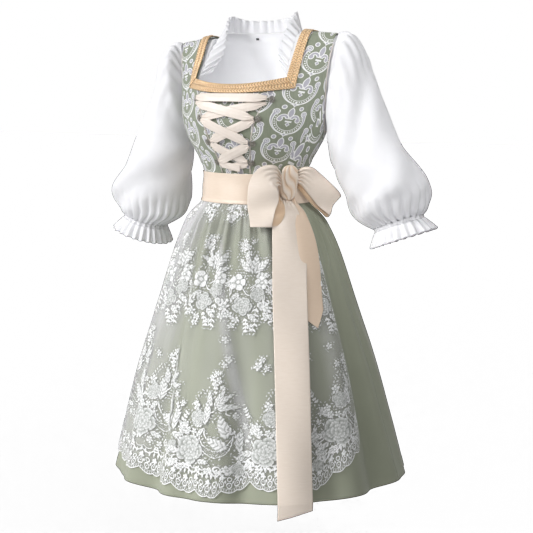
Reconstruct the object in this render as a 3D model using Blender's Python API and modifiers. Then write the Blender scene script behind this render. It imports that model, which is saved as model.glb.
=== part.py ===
"""A dirndl set, worn but with nobody in it: puff-sleeved blouse, laced bodice, gathered skirt,
lace apron, and a satin sash tied in a bow at the wearer's left.

Metres, +Z up, the front faces -Y. The origin is the middle of the shoulder line, where the
wearer's shoulders carry the set. A point of the body is given by its angle round the body, from
the front middle towards the wearer's left (+X), and by its height. Every panel is a wall: its
outer face is worked out from short tables, and Solidify gives it its thickness inwards.
"""
import math

import bmesh
import bpy
import numpy as np
from mathutils import Matrix, Vector

# ---------------------------------------------------------------- driving sizes
CLOTH = 0.0012          # thickness of bodice, blouse and sash
THIN_CLOTH = 0.0010     # thickness of skirt, apron, frills and lacing ribbon
SEAM = 0.0003           # clearance kept at a seam, on each side
WAIST = -0.345          # height of the waist seam
RIBBON = 0.0235         # width of the lacing ribbon
BRAID_LIFT = 0.0010     # underside of the braid above the bodice
BRAID_THICKNESS = 0.0013
CENTRE_LIFT = -0.0024   # outer face of the centre panel, behind the two fronts
BLOUSE_LIFT = -0.0054   # outer face of the blouse, behind the bodice
PIPING_RADIUS = 0.0012
HOOK_RADIUS = 0.0078
NECK_HALF = 0.1207      # half the distance between the straps at the shoulders
LEAN = 0.045            # the set hangs a little higher on the wearer's left
SHOULDER_SLOPE = 0.13   # fall of the shoulders beyond the neck
SLEEVE_LEAN = 0.040
SLEEVE_SLIM = 0.008     # how much nearer the body the sleeve of the wearer's right hangs
KNOT_ANGLE = 57.0       # where the bow is tied


def table(names, *rows):
    """A table with named columns, as one array per name."""
    return dict(zip(names.split(), np.array(rows, dtype=float).T))


# The body's sections from the waist to the shoulder crest. Fullness is how far the front
# stands out over the middle 110 mm.
TORSO = table(
    "height half_width front back shift fullness",
    (-0.345, 0.1265, 0.098, 0.090, 0.000, 0.000),
    (-0.315, 0.1260, 0.098, 0.090, 0.000, 0.000),
    (-0.285, 0.1390, 0.103, 0.094, 0.000, 0.005),
    (-0.255, 0.1580, 0.112, 0.100, 0.000, 0.010),
    (-0.225, 0.1740, 0.120, 0.104, 0.000, 0.014),
    (-0.185, 0.1860, 0.120, 0.106, 0.000, 0.019),
    (-0.140, 0.1900, 0.100, 0.106, 0.000, 0.027),
    (-0.095, 0.1930, 0.078, 0.102, 0.000, 0.015),
    (-0.050, 0.2000, 0.050, 0.092, 0.004, 0.000),
    (-0.016, 0.2070, 0.029, 0.069, 0.010, 0.000),
    (-0.003, 0.2100, 0.014, 0.038, 0.013, 0.000),
    (0.0000, 0.2100, 0.000, 0.000, 0.014, 0.000),
)
CREST = len(TORSO["height"]) - 1
CREST_SEAM = CREST - 0.10   # where front and back stop, either side of the crest

# The armhole, from the front of the crest down round the armpit and up to the back of the crest.
ARMHOLE = table(
    "angle height",
    (71.4, 0.000),
    (74.0, -0.050),
    (77.0, -0.095),
    (78.5, -0.140),
    (81.0, -0.178),
    (86.0, -0.211),
    (93.0, -0.225),
    (101.0, -0.212),
    (108.0, -0.178),
    (112.0, -0.140),
    (112.0, -0.095),
    (110.5, -0.050),
    (108.6, 0.000),
)
ARMHOLE_END = len(ARMHOLE["angle"]) - 1
SEAM_ROW = 6                # torso row at which the long seams run into the armhole
BACK_NECK_ROW = 8.5         # torso row of the middle of the bodice's back neckline
LOWER_ROWS = (0, 1, 2, 3, 3.5, 4, 4.5, 5, 5.5, SEAM_ROW)
UPPER_ROWS = (6.5, 7, 7.5, 8, 8.5, 9, 9.5, 10, CREST_SEAM)
FRONT_SEAM = (40.0, 78.5)   # angle of the front long seam at the waist and at the armhole
BACK_SEAM = (135.0, 112.0)  # angle of the back long seam at the waist and at the armhole
UNDERARM_TOP = (3, 9)       # armhole rows that the side panel reaches

# The open edge of each front, from the waist to the neckline corner and up the strap.
FRONT_EDGE = table(
    "height half",
    (-0.345, 0.0330),
    (-0.289, 0.0410),
    (-0.244, 0.0530),
    (-0.190, 0.0700),
    (-0.147, 0.0885),
    (-0.118, 0.1040),
    (-0.101, 0.1166),
    (-0.050, 0.1180),
    (0.0000, 0.1207),
)
NECK_MIDDLE = -0.115        # height of the front neckline in the middle
NECK_CORNER = -0.101        # height of its corners
CORNER_HALF = 0.1166
BRAID_DROP = 0.0195         # width of the braid across the front
CORNER_OUTER = (0.1350, -0.124)
STRAP_BRAID = 0.0210        # width of the braid on the straps

HOOKS = table(
    "half height lift",
    (0.0965, -0.1475, 0.0003),
    (0.0743, -0.1900, 0.0008),
    (0.0565, -0.2440, 0.0010),
    (0.0436, -0.2890, 0.0011),
)

# The collar frill: the seam where it joins the blouse, and its free edge, from the middle of
# the back round the side of the neck to the neckline corner.
COLLAR = table(
    "seam_x seam_y seam_z free_x free_y free_z",
    (0.000, 0.072, 0.000, 0.0000, 0.0700, 0.0300),
    (0.060, 0.064, 0.003, 0.0550, 0.0610, 0.0340),
    (0.095, 0.043, 0.006, 0.0860, 0.0370, 0.0440),
    (0.105, 0.010, 0.004, 0.0800, 0.0100, 0.0180),
    (0.108, -0.025, -0.035, 0.0735, -0.0080, -0.0160),
    (0.110, -0.050, -0.075, 0.0736, -0.0280, -0.0500),
    (0.114, -0.066, -0.098, 0.0900, -0.0420, -0.0850),
)
COLLAR_SIDE = 3             # row of the table at the side of the neck

# The sleeve's sections beyond the armhole seam: the outer and the inner point of each in the
# front view, the middle of its depth, and half its depth.
SLEEVE = table(
    "outer_x outer_z inner_x inner_z middle_y half_depth",
    (0.2310, -0.0120, 0.1850, -0.2200, 0.014, 0.0580),
    (0.2620, -0.0480, 0.1885, -0.2340, 0.013, 0.0640),
    (0.2790, -0.0980, 0.1895, -0.2490, 0.013, 0.0670),
    (0.3000, -0.1520, 0.1905, -0.2680, 0.014, 0.0690),
    (0.3250, -0.2110, 0.1930, -0.2910, 0.016, 0.0720),
    (0.3550, -0.2650, 0.1990, -0.3170, 0.022, 0.0770),
    (0.3865, -0.3090, 0.2080, -0.3430, 0.030, 0.0820),
    (0.4095, -0.3440, 0.2165, -0.3720, 0.036, 0.0840),
    (0.4140, -0.3700, 0.2250, -0.3970, 0.041, 0.0810),
    (0.4060, -0.4000, 0.2420, -0.4280, 0.045, 0.0720),
    (0.3920, -0.4165, 0.2850, -0.4505, 0.048, 0.0545),
)
CUFF_BAND = 0.008           # length of the gathered band
CUFF_FRILL = 0.040          # length of the frill below it
FRILL_SPREAD = 0.019        # how much wider the frill is at its free edge
CUFF_WAVES = 16
COLLAR_WAVES = 30
BLOUSE_HEM = -0.250         # the blouse is cropped and ends under the bodice
BLOUSE_NECK_LEVEL = -0.145
BLOUSE_CREST = CREST - 0.22  # where the blouse's front and back stop, either side of the crest
SLEEVE_STEPS = 18           # facets round a sleeve, whose points the blouse's armholes share
SEAM_ALLOWANCE = 0.0070     # how far the blouse reaches into the bodice's armhole

# The skirt's sections at the crests of its folds. The first two rows are the bodice above the
# waist, so that the sash and the bow can follow the same table.
SKIRT = table(
    "height half_width front back shift",
    (-0.285, 0.1390, 0.103, 0.094, 0.000),
    (-0.315, 0.1260, 0.098, 0.090, 0.000),
    (-0.3455, 0.1265, 0.098, 0.090, 0.000),
    (-0.385, 0.1310, 0.102, 0.096, 0.000),
    (-0.410, 0.1510, 0.115, 0.110, 0.002),
    (-0.450, 0.1730, 0.130, 0.130, 0.004),
    (-0.500, 0.1950, 0.146, 0.146, 0.006),
    (-0.580, 0.2240, 0.170, 0.172, 0.008),
    (-0.760, 0.2890, 0.220, 0.230, 0.012),
    (-0.900, 0.3290, 0.253, 0.262, 0.013),
    (-1.035, 0.3650, 0.283, 0.290, 0.014),
)
HEM = -1.035
HEM_LEAN = 0.020
HEM_SWING = 0.011                   # how much higher the hem is a quarter turn from its lowest
HEM_LOWEST = math.radians(28.0)

# Each fold of the skirt: where its valley lies, how deep it is at the hem, half its width and
# the height at which it starts.
FOLDS = table(
    "angle depth spread start",
    (-158.0, 0.030, 9.0, -0.42),
    (-131.0, 0.024, 8.0, -0.48),
    (-106.0, 0.034, 9.0, -0.44),
    (-82.0, 0.016, 7.5, -0.52),
    (-51.0, 0.012, 6.5, -0.50),
    (-27.0, 0.040, 7.0, -0.44),
    (-5.0, 0.012, 6.0, -0.66),
    (17.0, 0.032, 7.0, -0.52),
    (46.0, 0.020, 8.0, -0.60),
    (77.0, 0.042, 8.0, -0.42),
    (107.0, 0.012, 8.0, -0.46),
    (130.0, 0.030, 8.0, -0.46),
    (150.0, 0.018, 6.5, -0.50),
    (170.0, 0.032, 8.0, -0.44),
    (188.0, 0.016, 6.0, -0.60),
)

# The apron's hem: how far it lies above the skirt's hem, round its width.
APRON_HEM = table(
    "angle rise",
    (-71.0, 0.070),
    (-62.0, 0.030),
    (-40.0, 0.030),
    (-20.0, 0.022),
    (-5.0, 0.010),
    (6.0, 0.006),
    (18.0, 0.034),
    (30.0, 0.020),
    (45.0, 0.022),
    (57.0, 0.060),
    (66.0, 0.085),
    (71.0, 0.125),
)
APRON_TOP = -0.352
APRON_HALF_ANGLE = 71.0

SASH_TOP = -0.315
SASH_BOTTOM = -0.3845
SASH_LIFT = 0.0030          # outer face of the sash above the waist
KNOT_HEIGHT = -0.332
KNOT_CAGE = (0.048, 0.024, 0.096)   # cage of the knot: across, out from the body, and high
KNOT_LIFT = 0.0118

# The two loops of the bow: one ribbon that goes out, turns round and comes back. Slant is the
# turn of the ribbon's width from level, so that it is upright at 90. Tilt is how much further
# out its upper edge is than its middle.
LOOP_RIGHT_HAND = table(
    "angle height lift half_width slant",
    (48.6, -0.3270, 0.0170, 0.0150, 90.0),
    (43.0, -0.3170, 0.0270, 0.0240, 100.0),
    (36.5, -0.3210, 0.0340, 0.0290, 122.0),
    (32.0, -0.3430, 0.0340, 0.0300, 150.0),
    (31.0, -0.3700, 0.0310, 0.0290, 172.0),
    (28.5, -0.4020, 0.0260, 0.0250, 180.0),
    (27.2, -0.4260, 0.0240, 0.0220, 180.0),
    (27.5, -0.4300, 0.0195, 0.0220, 180.0),
    (31.0, -0.4250, 0.0165, 0.0260, 180.0),
    (36.0, -0.4030, 0.0160, 0.0280, 178.0),
    (40.0, -0.3780, 0.0150, 0.0240, 165.0),
    (43.0, -0.3580, 0.0135, 0.0160, 130.0),
    (45.0, -0.3450, 0.0125, 0.0100, 100.0),
)
LOOP_LEFT_HAND = table(
    "angle height lift half_width slant tilt",
    (67.4, -0.3210, 0.0170, 0.0140, 90.0, 0.000),
    (71.5, -0.3190, 0.0230, 0.0210, 90.0, 0.002),
    (78.0, -0.3300, 0.0310, 0.0280, 90.0, 0.009),
    (86.0, -0.3530, 0.0440, 0.0310, 90.0, 0.016),
    (92.0, -0.3770, 0.0540, 0.0285, 90.0, 0.023),
    (95.0, -0.3880, 0.0560, 0.0240, 90.0, 0.027),
    (95.5, -0.3930, 0.0510, 0.0230, 90.0, 0.026),
    (94.0, -0.3910, 0.0450, 0.0230, 90.0, 0.022),
    (88.0, -0.3700, 0.0350, 0.0260, 90.0, 0.014),
    (80.0, -0.3500, 0.0250, 0.0240, 90.0, 0.008),
    (74.0, -0.3390, 0.0170, 0.0180, 90.0, 0.002),
    (69.5, -0.3340, 0.0130, 0.0110, 90.0, 0.000),
)
TAIL_LONG = table(
    "angle height lift half_width",
    (52.2, -0.3685, 0.0044, 0.0083),
    (52.4, -0.3820, 0.0092, 0.0180),
    (50.5, -0.4050, 0.0105, 0.0275),
    (48.0, -0.4420, 0.0103, 0.0340),
    (45.0, -0.5000, 0.0100, 0.0370),
    (42.0, -0.5800, 0.0100, 0.0375),
    (39.7, -0.6700, 0.0100, 0.0375),
    (38.0, -0.7600, 0.0100, 0.0375),
    (37.0, -0.8650, 0.0100, 0.0375),
    (36.3, -0.9700, 0.0100, 0.0375),
    (35.8, -1.0510, 0.0100, 0.0375),
)
TAIL_LONG_END = (0.019, 0.013, 0.006, 0.000)    # how much lower its slanting end is, across it
TAIL_SHORT = table(
    "angle height lift half_width",
    (63.2, -0.3685, 0.0044, 0.0080),
    (62.4, -0.3850, 0.0060, 0.0150),
    (60.5, -0.4100, 0.0062, 0.0230),
    (58.5, -0.4600, 0.0060, 0.0310),
    (56.0, -0.5200, 0.0060, 0.0330),
    (53.5, -0.5800, 0.0060, 0.0340),
    (52.0, -0.6200, 0.0060, 0.0340),
)
TAIL_SHORT_END = (0.000, 0.018, 0.040, 0.000)

COLOURS = {
    "brocade": (0.31, 0.37, 0.22, 1.0),
    "braid": (0.72, 0.40, 0.12, 1.0),
    "blouse": (0.86, 0.86, 0.88, 1.0),
    "piping": (0.80, 0.74, 0.66, 1.0),
    "metal": (0.32, 0.29, 0.24, 1.0),
    "satin": (0.80, 0.66, 0.53, 1.0),
    "skirt": (0.26, 0.31, 0.20, 1.0),
    "lace": (0.78, 0.79, 0.78, 1.0),
}
ROUGHNESS = {"satin": 0.35, "metal": 0.4, "braid": 0.45}


# ---------------------------------------------------------------- curves and surfaces
def smooth(values, at):
    """Cubic through evenly numbered rows; a row's slope is half the step between its neighbours."""
    values = np.asarray(values, dtype=float)
    at = np.asarray(at, dtype=float)
    slope = np.gradient(values, axis=0)
    first = np.clip(np.floor(at).astype(int), 0, len(values) - 2)
    t = (at - first).reshape(at.shape + (1,) * (values.ndim - 1))
    start = (2 * t**3 - 3 * t**2 + 1) * values[first] + (t**3 - 2 * t**2 + t) * slope[first]
    end = (3 * t**2 - 2 * t**3) * values[first + 1] + (t**3 - t**2) * slope[first + 1]
    return start + end


def ease(amount):
    """Smooth step: 0 below 0, 1 above 1, level at both ends."""
    amount = np.clip(amount, 0.0, 1.0)
    return amount * amount * (3.0 - 2.0 * amount)


def mix(start, end, share):
    return start + (end - start) * share


def row_at(section_table, height):
    """Row number at which a table of sections reaches a height."""
    rows = np.linspace(0, len(section_table["height"]) - 1, 600)
    heights = smooth(section_table["height"], rows)
    order = np.argsort(heights)
    return np.interp(height, heights[order], rows[order])


def torso(angle, row):
    """Point of the bodice's outer face, for an angle in radians and a row of TORSO."""
    angle, row = np.broadcast_arrays(np.asarray(angle, float), np.asarray(row, float))
    size = {name: smooth(TORSO[name], row) for name in TORSO}
    x = size["half_width"] * np.sin(angle)
    turn = np.cos(angle)
    middle = ease((0.150 - np.abs(x)) / 0.095)
    front = size["front"] * turn + size["fullness"] * middle * (turn > 0)
    y = size["shift"] - np.where(turn > 0, front, size["back"] * turn)
    shoulder = ease((size["height"] + 0.150) / 0.120)
    slope = SHOULDER_SLOPE * np.maximum(np.abs(x) - 0.120, 0.0)
    z = size["height"] + shoulder * (LEAN * x - slope)
    return np.stack([x, y, z], axis=-1)


def lifted(surface, u, v, lift):
    """Point of a surface moved along its normal, whose side is that of the (u, v) order."""
    step = 1e-4
    across = surface(u + step, v) - surface(u - step, v)
    up = surface(u, v + step) - surface(u, v - step)
    normal = np.cross(across, up)
    normal /= np.linalg.norm(normal, axis=-1, keepdims=True)
    return surface(u, v) + normal * np.asarray(lift)[..., None]


def on_torso(chart, lift=0.0):
    """Points over the bodice for an array of (angle, row)."""
    lift = np.broadcast_to(lift, chart.shape[:-1])
    return lifted(torso, chart[..., 0], np.minimum(chart[..., 1], CREST - 0.01), lift)


def chart_at(x, height, back=False):
    """(angle, row) of the body's point with a given x and height."""
    x, height = np.broadcast_arrays(np.asarray(x, float), np.asarray(height, float))
    row = row_at(TORSO, height)
    angle = np.arcsin(np.clip(x / smooth(TORSO["half_width"], row), -1, 1))
    if back:
        angle = math.pi - angle
    return np.stack([angle, row], axis=-1)


def armhole(at, grow=0.0):
    """(angle, row) along the armhole; grow moves the edge away from the hole, in metres."""
    at = np.asarray(at, dtype=float)

    def edge(place):
        angle = np.radians(smooth(ARMHOLE["angle"], place))
        return angle, row_at(TORSO, smooth(ARMHOLE["height"], place))

    angle, row = edge(at)
    row = np.minimum(row, CREST_SEAM)
    step = 0.02
    across = np.linalg.norm(torso(angle + step, row) - torso(angle - step, row), axis=-1) / (2 * step)
    up = np.linalg.norm(torso(angle, row + step) - torso(angle, row - step), axis=-1) / (2 * step)
    ahead = edge(np.minimum(at + step, ARMHOLE_END))
    behind = edge(np.maximum(at - step, 0))
    along = (ahead[0] - behind[0]) * across
    rise = (ahead[1] - behind[1]) * up
    length = np.hypot(along, rise)
    angle = angle + grow * rise / length / across
    row = row - grow * along / length / up
    return np.stack([angle, np.minimum(row, CREST_SEAM)], axis=-1)


def skirt_section(angle, row):
    """Point of the skirt's envelope, without folds, for an angle in radians and a SKIRT row."""
    size = {name: smooth(SKIRT[name], row) for name in SKIRT}
    turn = np.cos(angle)
    x = size["half_width"] * np.sin(angle)
    y = size["shift"] - np.where(turn > 0, size["front"], size["back"]) * turn
    down = ease((WAIST - size["height"]) / (WAIST - HEM))
    rise = HEM_LEAN * np.sin(angle) + HEM_SWING * (1.0 - np.cos(angle - HEM_LOWEST))
    return np.stack([x, y, size["height"] + rise * down], axis=-1)


def over_skirt(angle, height, lift=0.0):
    """Points over the skirt's envelope, moved out along its normal. Angles in radians."""
    angle, height = np.broadcast_arrays(np.asarray(angle, float), np.asarray(height, float))
    row = row_at(SKIRT, height)
    beyond = np.minimum(height - HEM, 0.0)
    points = lifted(lambda u, v: skirt_section(u, -v), angle, -row, np.broadcast_to(lift, angle.shape))
    points[..., 2] += beyond
    return points


def beside_body(angle, height, lift=0.0):
    """Points off the body at the height given, moved level: where the loops of the bow hang."""
    ahead = over_skirt(angle + 0.01, height)
    behind = over_skirt(angle - 0.01, height)
    out = np.stack([(ahead - behind)[..., 1], (behind - ahead)[..., 0]], axis=-1)
    out /= np.linalg.norm(out, axis=-1, keepdims=True)
    points = over_skirt(angle, height)
    points[..., :2] += out * np.asarray(lift)[..., None]
    return points


def fold_depth(angle, height):
    """How far the folds draw the skirt in. Each valley is a bell across and deepens downwards."""
    depth = np.zeros(np.broadcast(angle, height).shape)
    for middle, deep, spread, start in zip(*(FOLDS[name] for name in FOLDS)):
        away = (np.degrees(angle) - middle + 180.0) % 360.0 - 180.0
        bell = np.exp(-((away / spread) ** 2))
        depth += deep * bell * ease((start - height) / (start - HEM)) ** 0.8
    return depth


def folded_skirt(angle, height, lift=0.0):
    return over_skirt(angle, height, lift - fold_depth(angle, height))


# ---------------------------------------------------------------- making pieces
def material(kind, name):
    made = bpy.data.materials.new(name)
    made.use_nodes = True
    shader = made.node_tree.nodes["Principled BSDF"]
    shader.inputs["Base Color"].default_value = COLOURS[kind]
    shader.inputs["Roughness"].default_value = ROUGHNESS.get(kind, 0.8)
    shader.inputs["Metallic"].default_value = 1.0 if kind == "metal" else 0.0
    return made


def add_object(name, mesh, kind, garment):
    made = bpy.data.objects.new(name, mesh)
    garment.objects.link(made)
    made.data.materials.append(material(kind, name))
    return made


def cloth(name, points, kind, garment, thickness=CLOTH, ring=False, cut=None):
    """A wall from a grid of points on its outer face, columns to the right and rows upwards.

    A ring joins the last column to the first. Faces marked in cut are left out. Solidify adds
    the thickness inwards.
    """
    rows, columns = points.shape[:2]
    number = np.arange(rows * columns).reshape(rows, columns)
    if ring:
        number = np.concatenate([number, number[:, :1]], axis=1)
    corners = (number[:-1, :-1], number[:-1, 1:], number[1:, 1:], number[1:, :-1])
    faces = np.stack(corners, axis=-1)
    faces = faces.reshape(-1, 4) if cut is None else faces[~cut]
    used, faces = np.unique(faces, return_inverse=True)
    mesh = bpy.data.meshes.new(name)
    mesh.from_pydata(points.reshape(-1, 3)[used].tolist(), [], faces.reshape(-1, 4).tolist())
    mesh.shade_smooth()
    made = add_object(name, mesh, kind, garment)
    wall = made.modifiers.new("wall", "SOLIDIFY")
    wall.thickness = thickness
    wall.offset = -1.0
    return made


def mirrored(chart):
    """The same (angle, row) patch on the wearer's right, its columns still to the right."""
    flipped = chart[:, ::-1].copy()
    flipped[..., 0] *= -1.0
    return flipped


def patch(left, right, columns):
    """(angle, row) grid between two edges that have the same number of points, bottom to top."""
    share = np.linspace(0.0, 1.0, columns)[None, :, None]
    return mix(left[:, None, :], right[:, None, :], share)


def inset(chart):
    """Draws the first and the last column of a patch in by the seam clearance."""
    chart = chart.copy()
    for edge, inner in ((0, 1), (-1, -2)):
        points = on_torso(chart[:, edge])
        gap = np.linalg.norm(on_torso(chart[:, inner]) - points, axis=-1)
        share = (SEAM / gap)[:, None]
        chart[:, edge] = mix(chart[:, edge], chart[:, inner], share)
    return chart


# ---------------------------------------------------------------- bodice
def long_seam(seam, rows):
    """Angle of a long seam, straight in (angle, row) from the waist to the armhole."""
    return np.radians(mix(seam[0], seam[1], rows / SEAM_ROW))


def front_edge_chart(rows, inward=0.0):
    """The open edge of a front; inward moves it towards the side, in metres."""
    height = smooth(TORSO["height"], rows)
    half = np.interp(height, FRONT_EDGE["height"], FRONT_EDGE["half"]) + inward
    angle = np.arcsin(half / smooth(TORSO["half_width"], rows))
    return np.stack([angle, rows], axis=-1)


def upper_armhole_angle(rows, back, grow=0.0):
    """Angle of the armhole's front or back edge at given torso rows above the long seams."""
    at = np.linspace(9, ARMHOLE_END, 60) if back else np.linspace(3, 0, 60)
    edge = armhole(at, grow)
    order = np.argsort(edge[:, 1])
    return np.interp(rows, edge[order, 1], edge[order, 0])


def make_fronts(garment):
    rows = np.array([*LOWER_ROWS, *UPPER_ROWS])
    outer = np.where(rows <= SEAM_ROW, long_seam(FRONT_SEAM, rows), upper_armhole_angle(rows, False))
    chart = inset(patch(front_edge_chart(rows), np.stack([outer, rows], axis=-1), 5))
    cloth("bodice_front_l", on_torso(chart), "brocade", garment)
    cloth("bodice_front_r", on_torso(mirrored(chart)), "brocade", garment)


def make_sides(garment):
    at = np.linspace(*UNDERARM_TOP, 13)
    top = armhole(at)
    top[0] = (math.radians(FRONT_SEAM[1]), SEAM_ROW)
    top[-1] = (math.radians(BACK_SEAM[1]), SEAM_ROW)
    bottom = np.stack([np.radians(np.linspace(FRONT_SEAM[0], BACK_SEAM[0], len(at))), 0 * at], axis=-1)
    share = (np.array(LOWER_ROWS) / SEAM_ROW)[:, None, None]
    chart = inset(mix(bottom[None], top[None], share))
    cloth("bodice_side_l", on_torso(chart), "brocade", garment)
    cloth("bodice_side_r", on_torso(mirrored(chart)), "brocade", garment)


def back_neck_half(height):
    """Half the width of the back neckline at a height: an upright half ellipse."""
    depth = smooth(TORSO["height"], BACK_NECK_ROW)
    return NECK_HALF * np.sqrt(np.clip(1.0 - (height / depth) ** 2, 0.0, 1.0))


def make_backs(garment):
    rows = np.array([*LOWER_ROWS, 6.5, 7, 7.5, 8, 8.5, 8.6, 8.8, 9, 9.5, 10, CREST_SEAM])
    outer = np.where(rows <= SEAM_ROW, long_seam(BACK_SEAM, rows), upper_armhole_angle(rows, True))
    height = smooth(TORSO["height"], rows)
    half = np.where(rows < BACK_NECK_ROW, 0.0, back_neck_half(height))
    inner = math.pi - np.arcsin(half / smooth(TORSO["half_width"], rows))
    chart = patch(np.stack([outer, rows], axis=-1), np.stack([inner, rows], axis=-1), 5)
    chart = inset(chart)
    cloth("bodice_back_l", on_torso(chart), "brocade", garment)
    cloth("bodice_back_r", on_torso(mirrored(chart)), "brocade", garment)


def neckline(x):
    """Height of the front neckline, a shallow curve between its corners."""
    return mix(NECK_MIDDLE, NECK_CORNER, (x / CORNER_HALF) ** 2)


def make_centre(garment):
    tuck = 0.006
    rows = np.array([*LOWER_ROWS, 6.5, 6.8])
    heights = smooth(TORSO["height"], rows)
    half = np.interp(heights, FRONT_EDGE["height"], FRONT_EDGE["half"]) + tuck
    half[-1] = CORNER_HALF - 0.001
    share = np.linspace(-1.0, 1.0, 11)[None, :]
    x = half[:, None] * share
    sag = np.linspace(0.0, 1.0, len(rows))[:, None] ** 3 * (neckline(x) - neckline(half[:, None]) - 0.0005)
    cloth("bodice_centre", on_torso(chart_at(x, heights[:, None] + sag), CENTRE_LIFT), "brocade", garment)


def braid_strip(name, outer, inner, garment):
    """Braid between its outer and its inner line over the bodice, both given as (angle, row)."""
    chart = patch(outer, inner, 4).transpose(1, 0, 2)
    lift = BRAID_LIFT + BRAID_THICKNESS
    cloth(name, on_torso(chart, lift), "braid", garment, BRAID_THICKNESS)


def make_braid(garment):
    """Plaited braid along the neckline, with a mitre at each front corner."""
    share = np.linspace(-0.997, 0.997, 21)
    inner = chart_at(CORNER_HALF * share, neckline(CORNER_HALF * share))
    outer_height = mix(NECK_MIDDLE - BRAID_DROP, CORNER_OUTER[1], share**2)
    braid_strip("braid_front", chart_at(CORNER_OUTER[0] * share, outer_height), inner, garment)

    rows = np.array([7, 7.5, 8, 8.5, 9, 9.5, 10, CREST_SEAM])
    inner = front_edge_chart(rows)
    outer = front_edge_chart(rows, STRAP_BRAID)
    inner[0] = chart_at(CORNER_HALF, NECK_CORNER + 2 * SEAM)
    outer[0] = chart_at(CORNER_OUTER[0], CORNER_OUTER[1] + 2 * SEAM)
    for name, sign in (("l", 1.0), ("r", -1.0)):
        ends = (outer * (sign, 1.0), inner * (sign, 1.0))
        order = slice(None, None, -1) if sign > 0 else slice(None)
        braid_strip(f"braid_side_{name}", ends[0][order], ends[1][order], garment)

    depth = smooth(TORSO["height"], BACK_NECK_ROW)
    rows = np.array([CREST_SEAM, 10.5, 10, 9.75, 9.5, 9.2, 9, 8.8, 8.65, 8.55])
    turn = np.arccos(smooth(TORSO["height"], rows) / depth)
    turn = np.concatenate([turn, [0.0], -turn[::-1]])
    half = NECK_HALF * np.sin(turn)
    inner = chart_at(half, depth * np.cos(turn), back=True)
    wider = 1.0 + STRAP_BRAID / NECK_HALF
    outer = chart_at(half * wider, (depth - STRAP_BRAID) * np.cos(turn), back=True)
    inner[:, 1] = np.minimum(inner[:, 1], CREST_SEAM)
    outer[:, 1] = np.minimum(outer[:, 1], CREST_SEAM)
    braid_strip("braid_back", outer, inner, garment)


def tube(name, path, radius, kind, garment):
    """A round cord through points, closed at both ends."""
    curve = bpy.data.curves.new(name, "CURVE")
    curve.dimensions = "3D"
    curve.bevel_depth = radius
    curve.bevel_resolution = 1
    curve.use_fill_caps = True
    line = curve.splines.new("POLY")
    line.points.add(len(path) - 1)
    for point, place in zip(line.points, path):
        point.co = (*place, 1.0)
    return add_object(name, curve, kind, garment)


def make_piping(garment):
    """Cord along the open edge of each front, and round each armhole, just beyond the edge."""
    beyond = PIPING_RADIUS + SEAM
    rows = np.array([1.05, 2, 3, 3.5, 4, 4.5, 5, 5.5])
    chart = front_edge_chart(rows, -beyond)[:, None]
    tube("piping_front_l", on_torso(chart, -CLOTH / 2)[:, 0], PIPING_RADIUS, "piping", garment)
    tube("piping_front_r", on_torso(mirrored(chart), -CLOTH / 2)[:, 0], PIPING_RADIUS, "piping", garment)
    chart = armhole(np.arange(0.5, ARMHOLE_END, 0.5), -beyond)[:, None]
    tube("piping_armhole_l", on_torso(chart, -CLOTH / 2)[:, 0], PIPING_RADIUS, "piping", garment)
    tube("piping_armhole_r", on_torso(mirrored(chart), -CLOTH / 2)[:, 0], PIPING_RADIUS, "piping", garment)


def surface_frame(chart, lift):
    """Place and turn of something small that sits on the bodice: its Z axis points outwards."""
    here = on_torso(chart, lift)
    outward = Vector(on_torso(chart, lift + 0.001) - here).normalized()
    turn = outward.to_track_quat("Z", "Y").to_matrix().to_4x4()
    return Matrix.Translation(Vector(here)) @ turn


def make_hooks(garment):
    """Round metal lacing hooks, a flat cone each, four down each front."""
    height = 0.0028
    places = zip(HOOKS["half"], HOOKS["height"], HOOKS["lift"])
    for number, (half, level, lift) in enumerate(places, start=1):
        for side, sign in (("l", 1.0), ("r", -1.0)):
            mesh = bpy.data.meshes.new("hook")
            shape = bmesh.new()
            bmesh.ops.create_cone(
                shape,
                cap_ends=True,
                segments=12,
                radius1=HOOK_RADIUS,
                radius2=0.72 * HOOK_RADIUS,
                depth=height,
            )
            shape.to_mesh(mesh)
            shape.free()
            hook = add_object(f"hook_{side}{number}", mesh, "metal", garment)
            chart = chart_at(sign * half, level)
            hook.matrix_world = surface_frame(chart, lift + height / 2)


def ribbon(name, start, end, lift, ends, garment, width=RIBBON):
    """A flat ribbon over the bodice from one (x, height) to another, gathered at its ends."""
    share = np.linspace(0.0, 1.0, 9)
    start, end = np.array(start), np.array(end)
    middle = mix(start, end, share[:, None])
    along = (end - start) / np.linalg.norm(end - start)
    across = np.array([-along[1], along[0]])
    fullness = np.minimum(ease(share / 0.22) + ends[0], 1.0)
    fullness = fullness * np.minimum(ease((1 - share) / 0.22) + ends[1], 1.0)
    offset = (width / 2 * fullness)[None, :, None] * np.array([-1.0, 1.0])[:, None, None] * across
    flat = middle[None] + offset
    cloth(name, on_torso(chart_at(flat[..., 0], flat[..., 1]), lift), "satin", garment, THIN_CLOTH)


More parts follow.
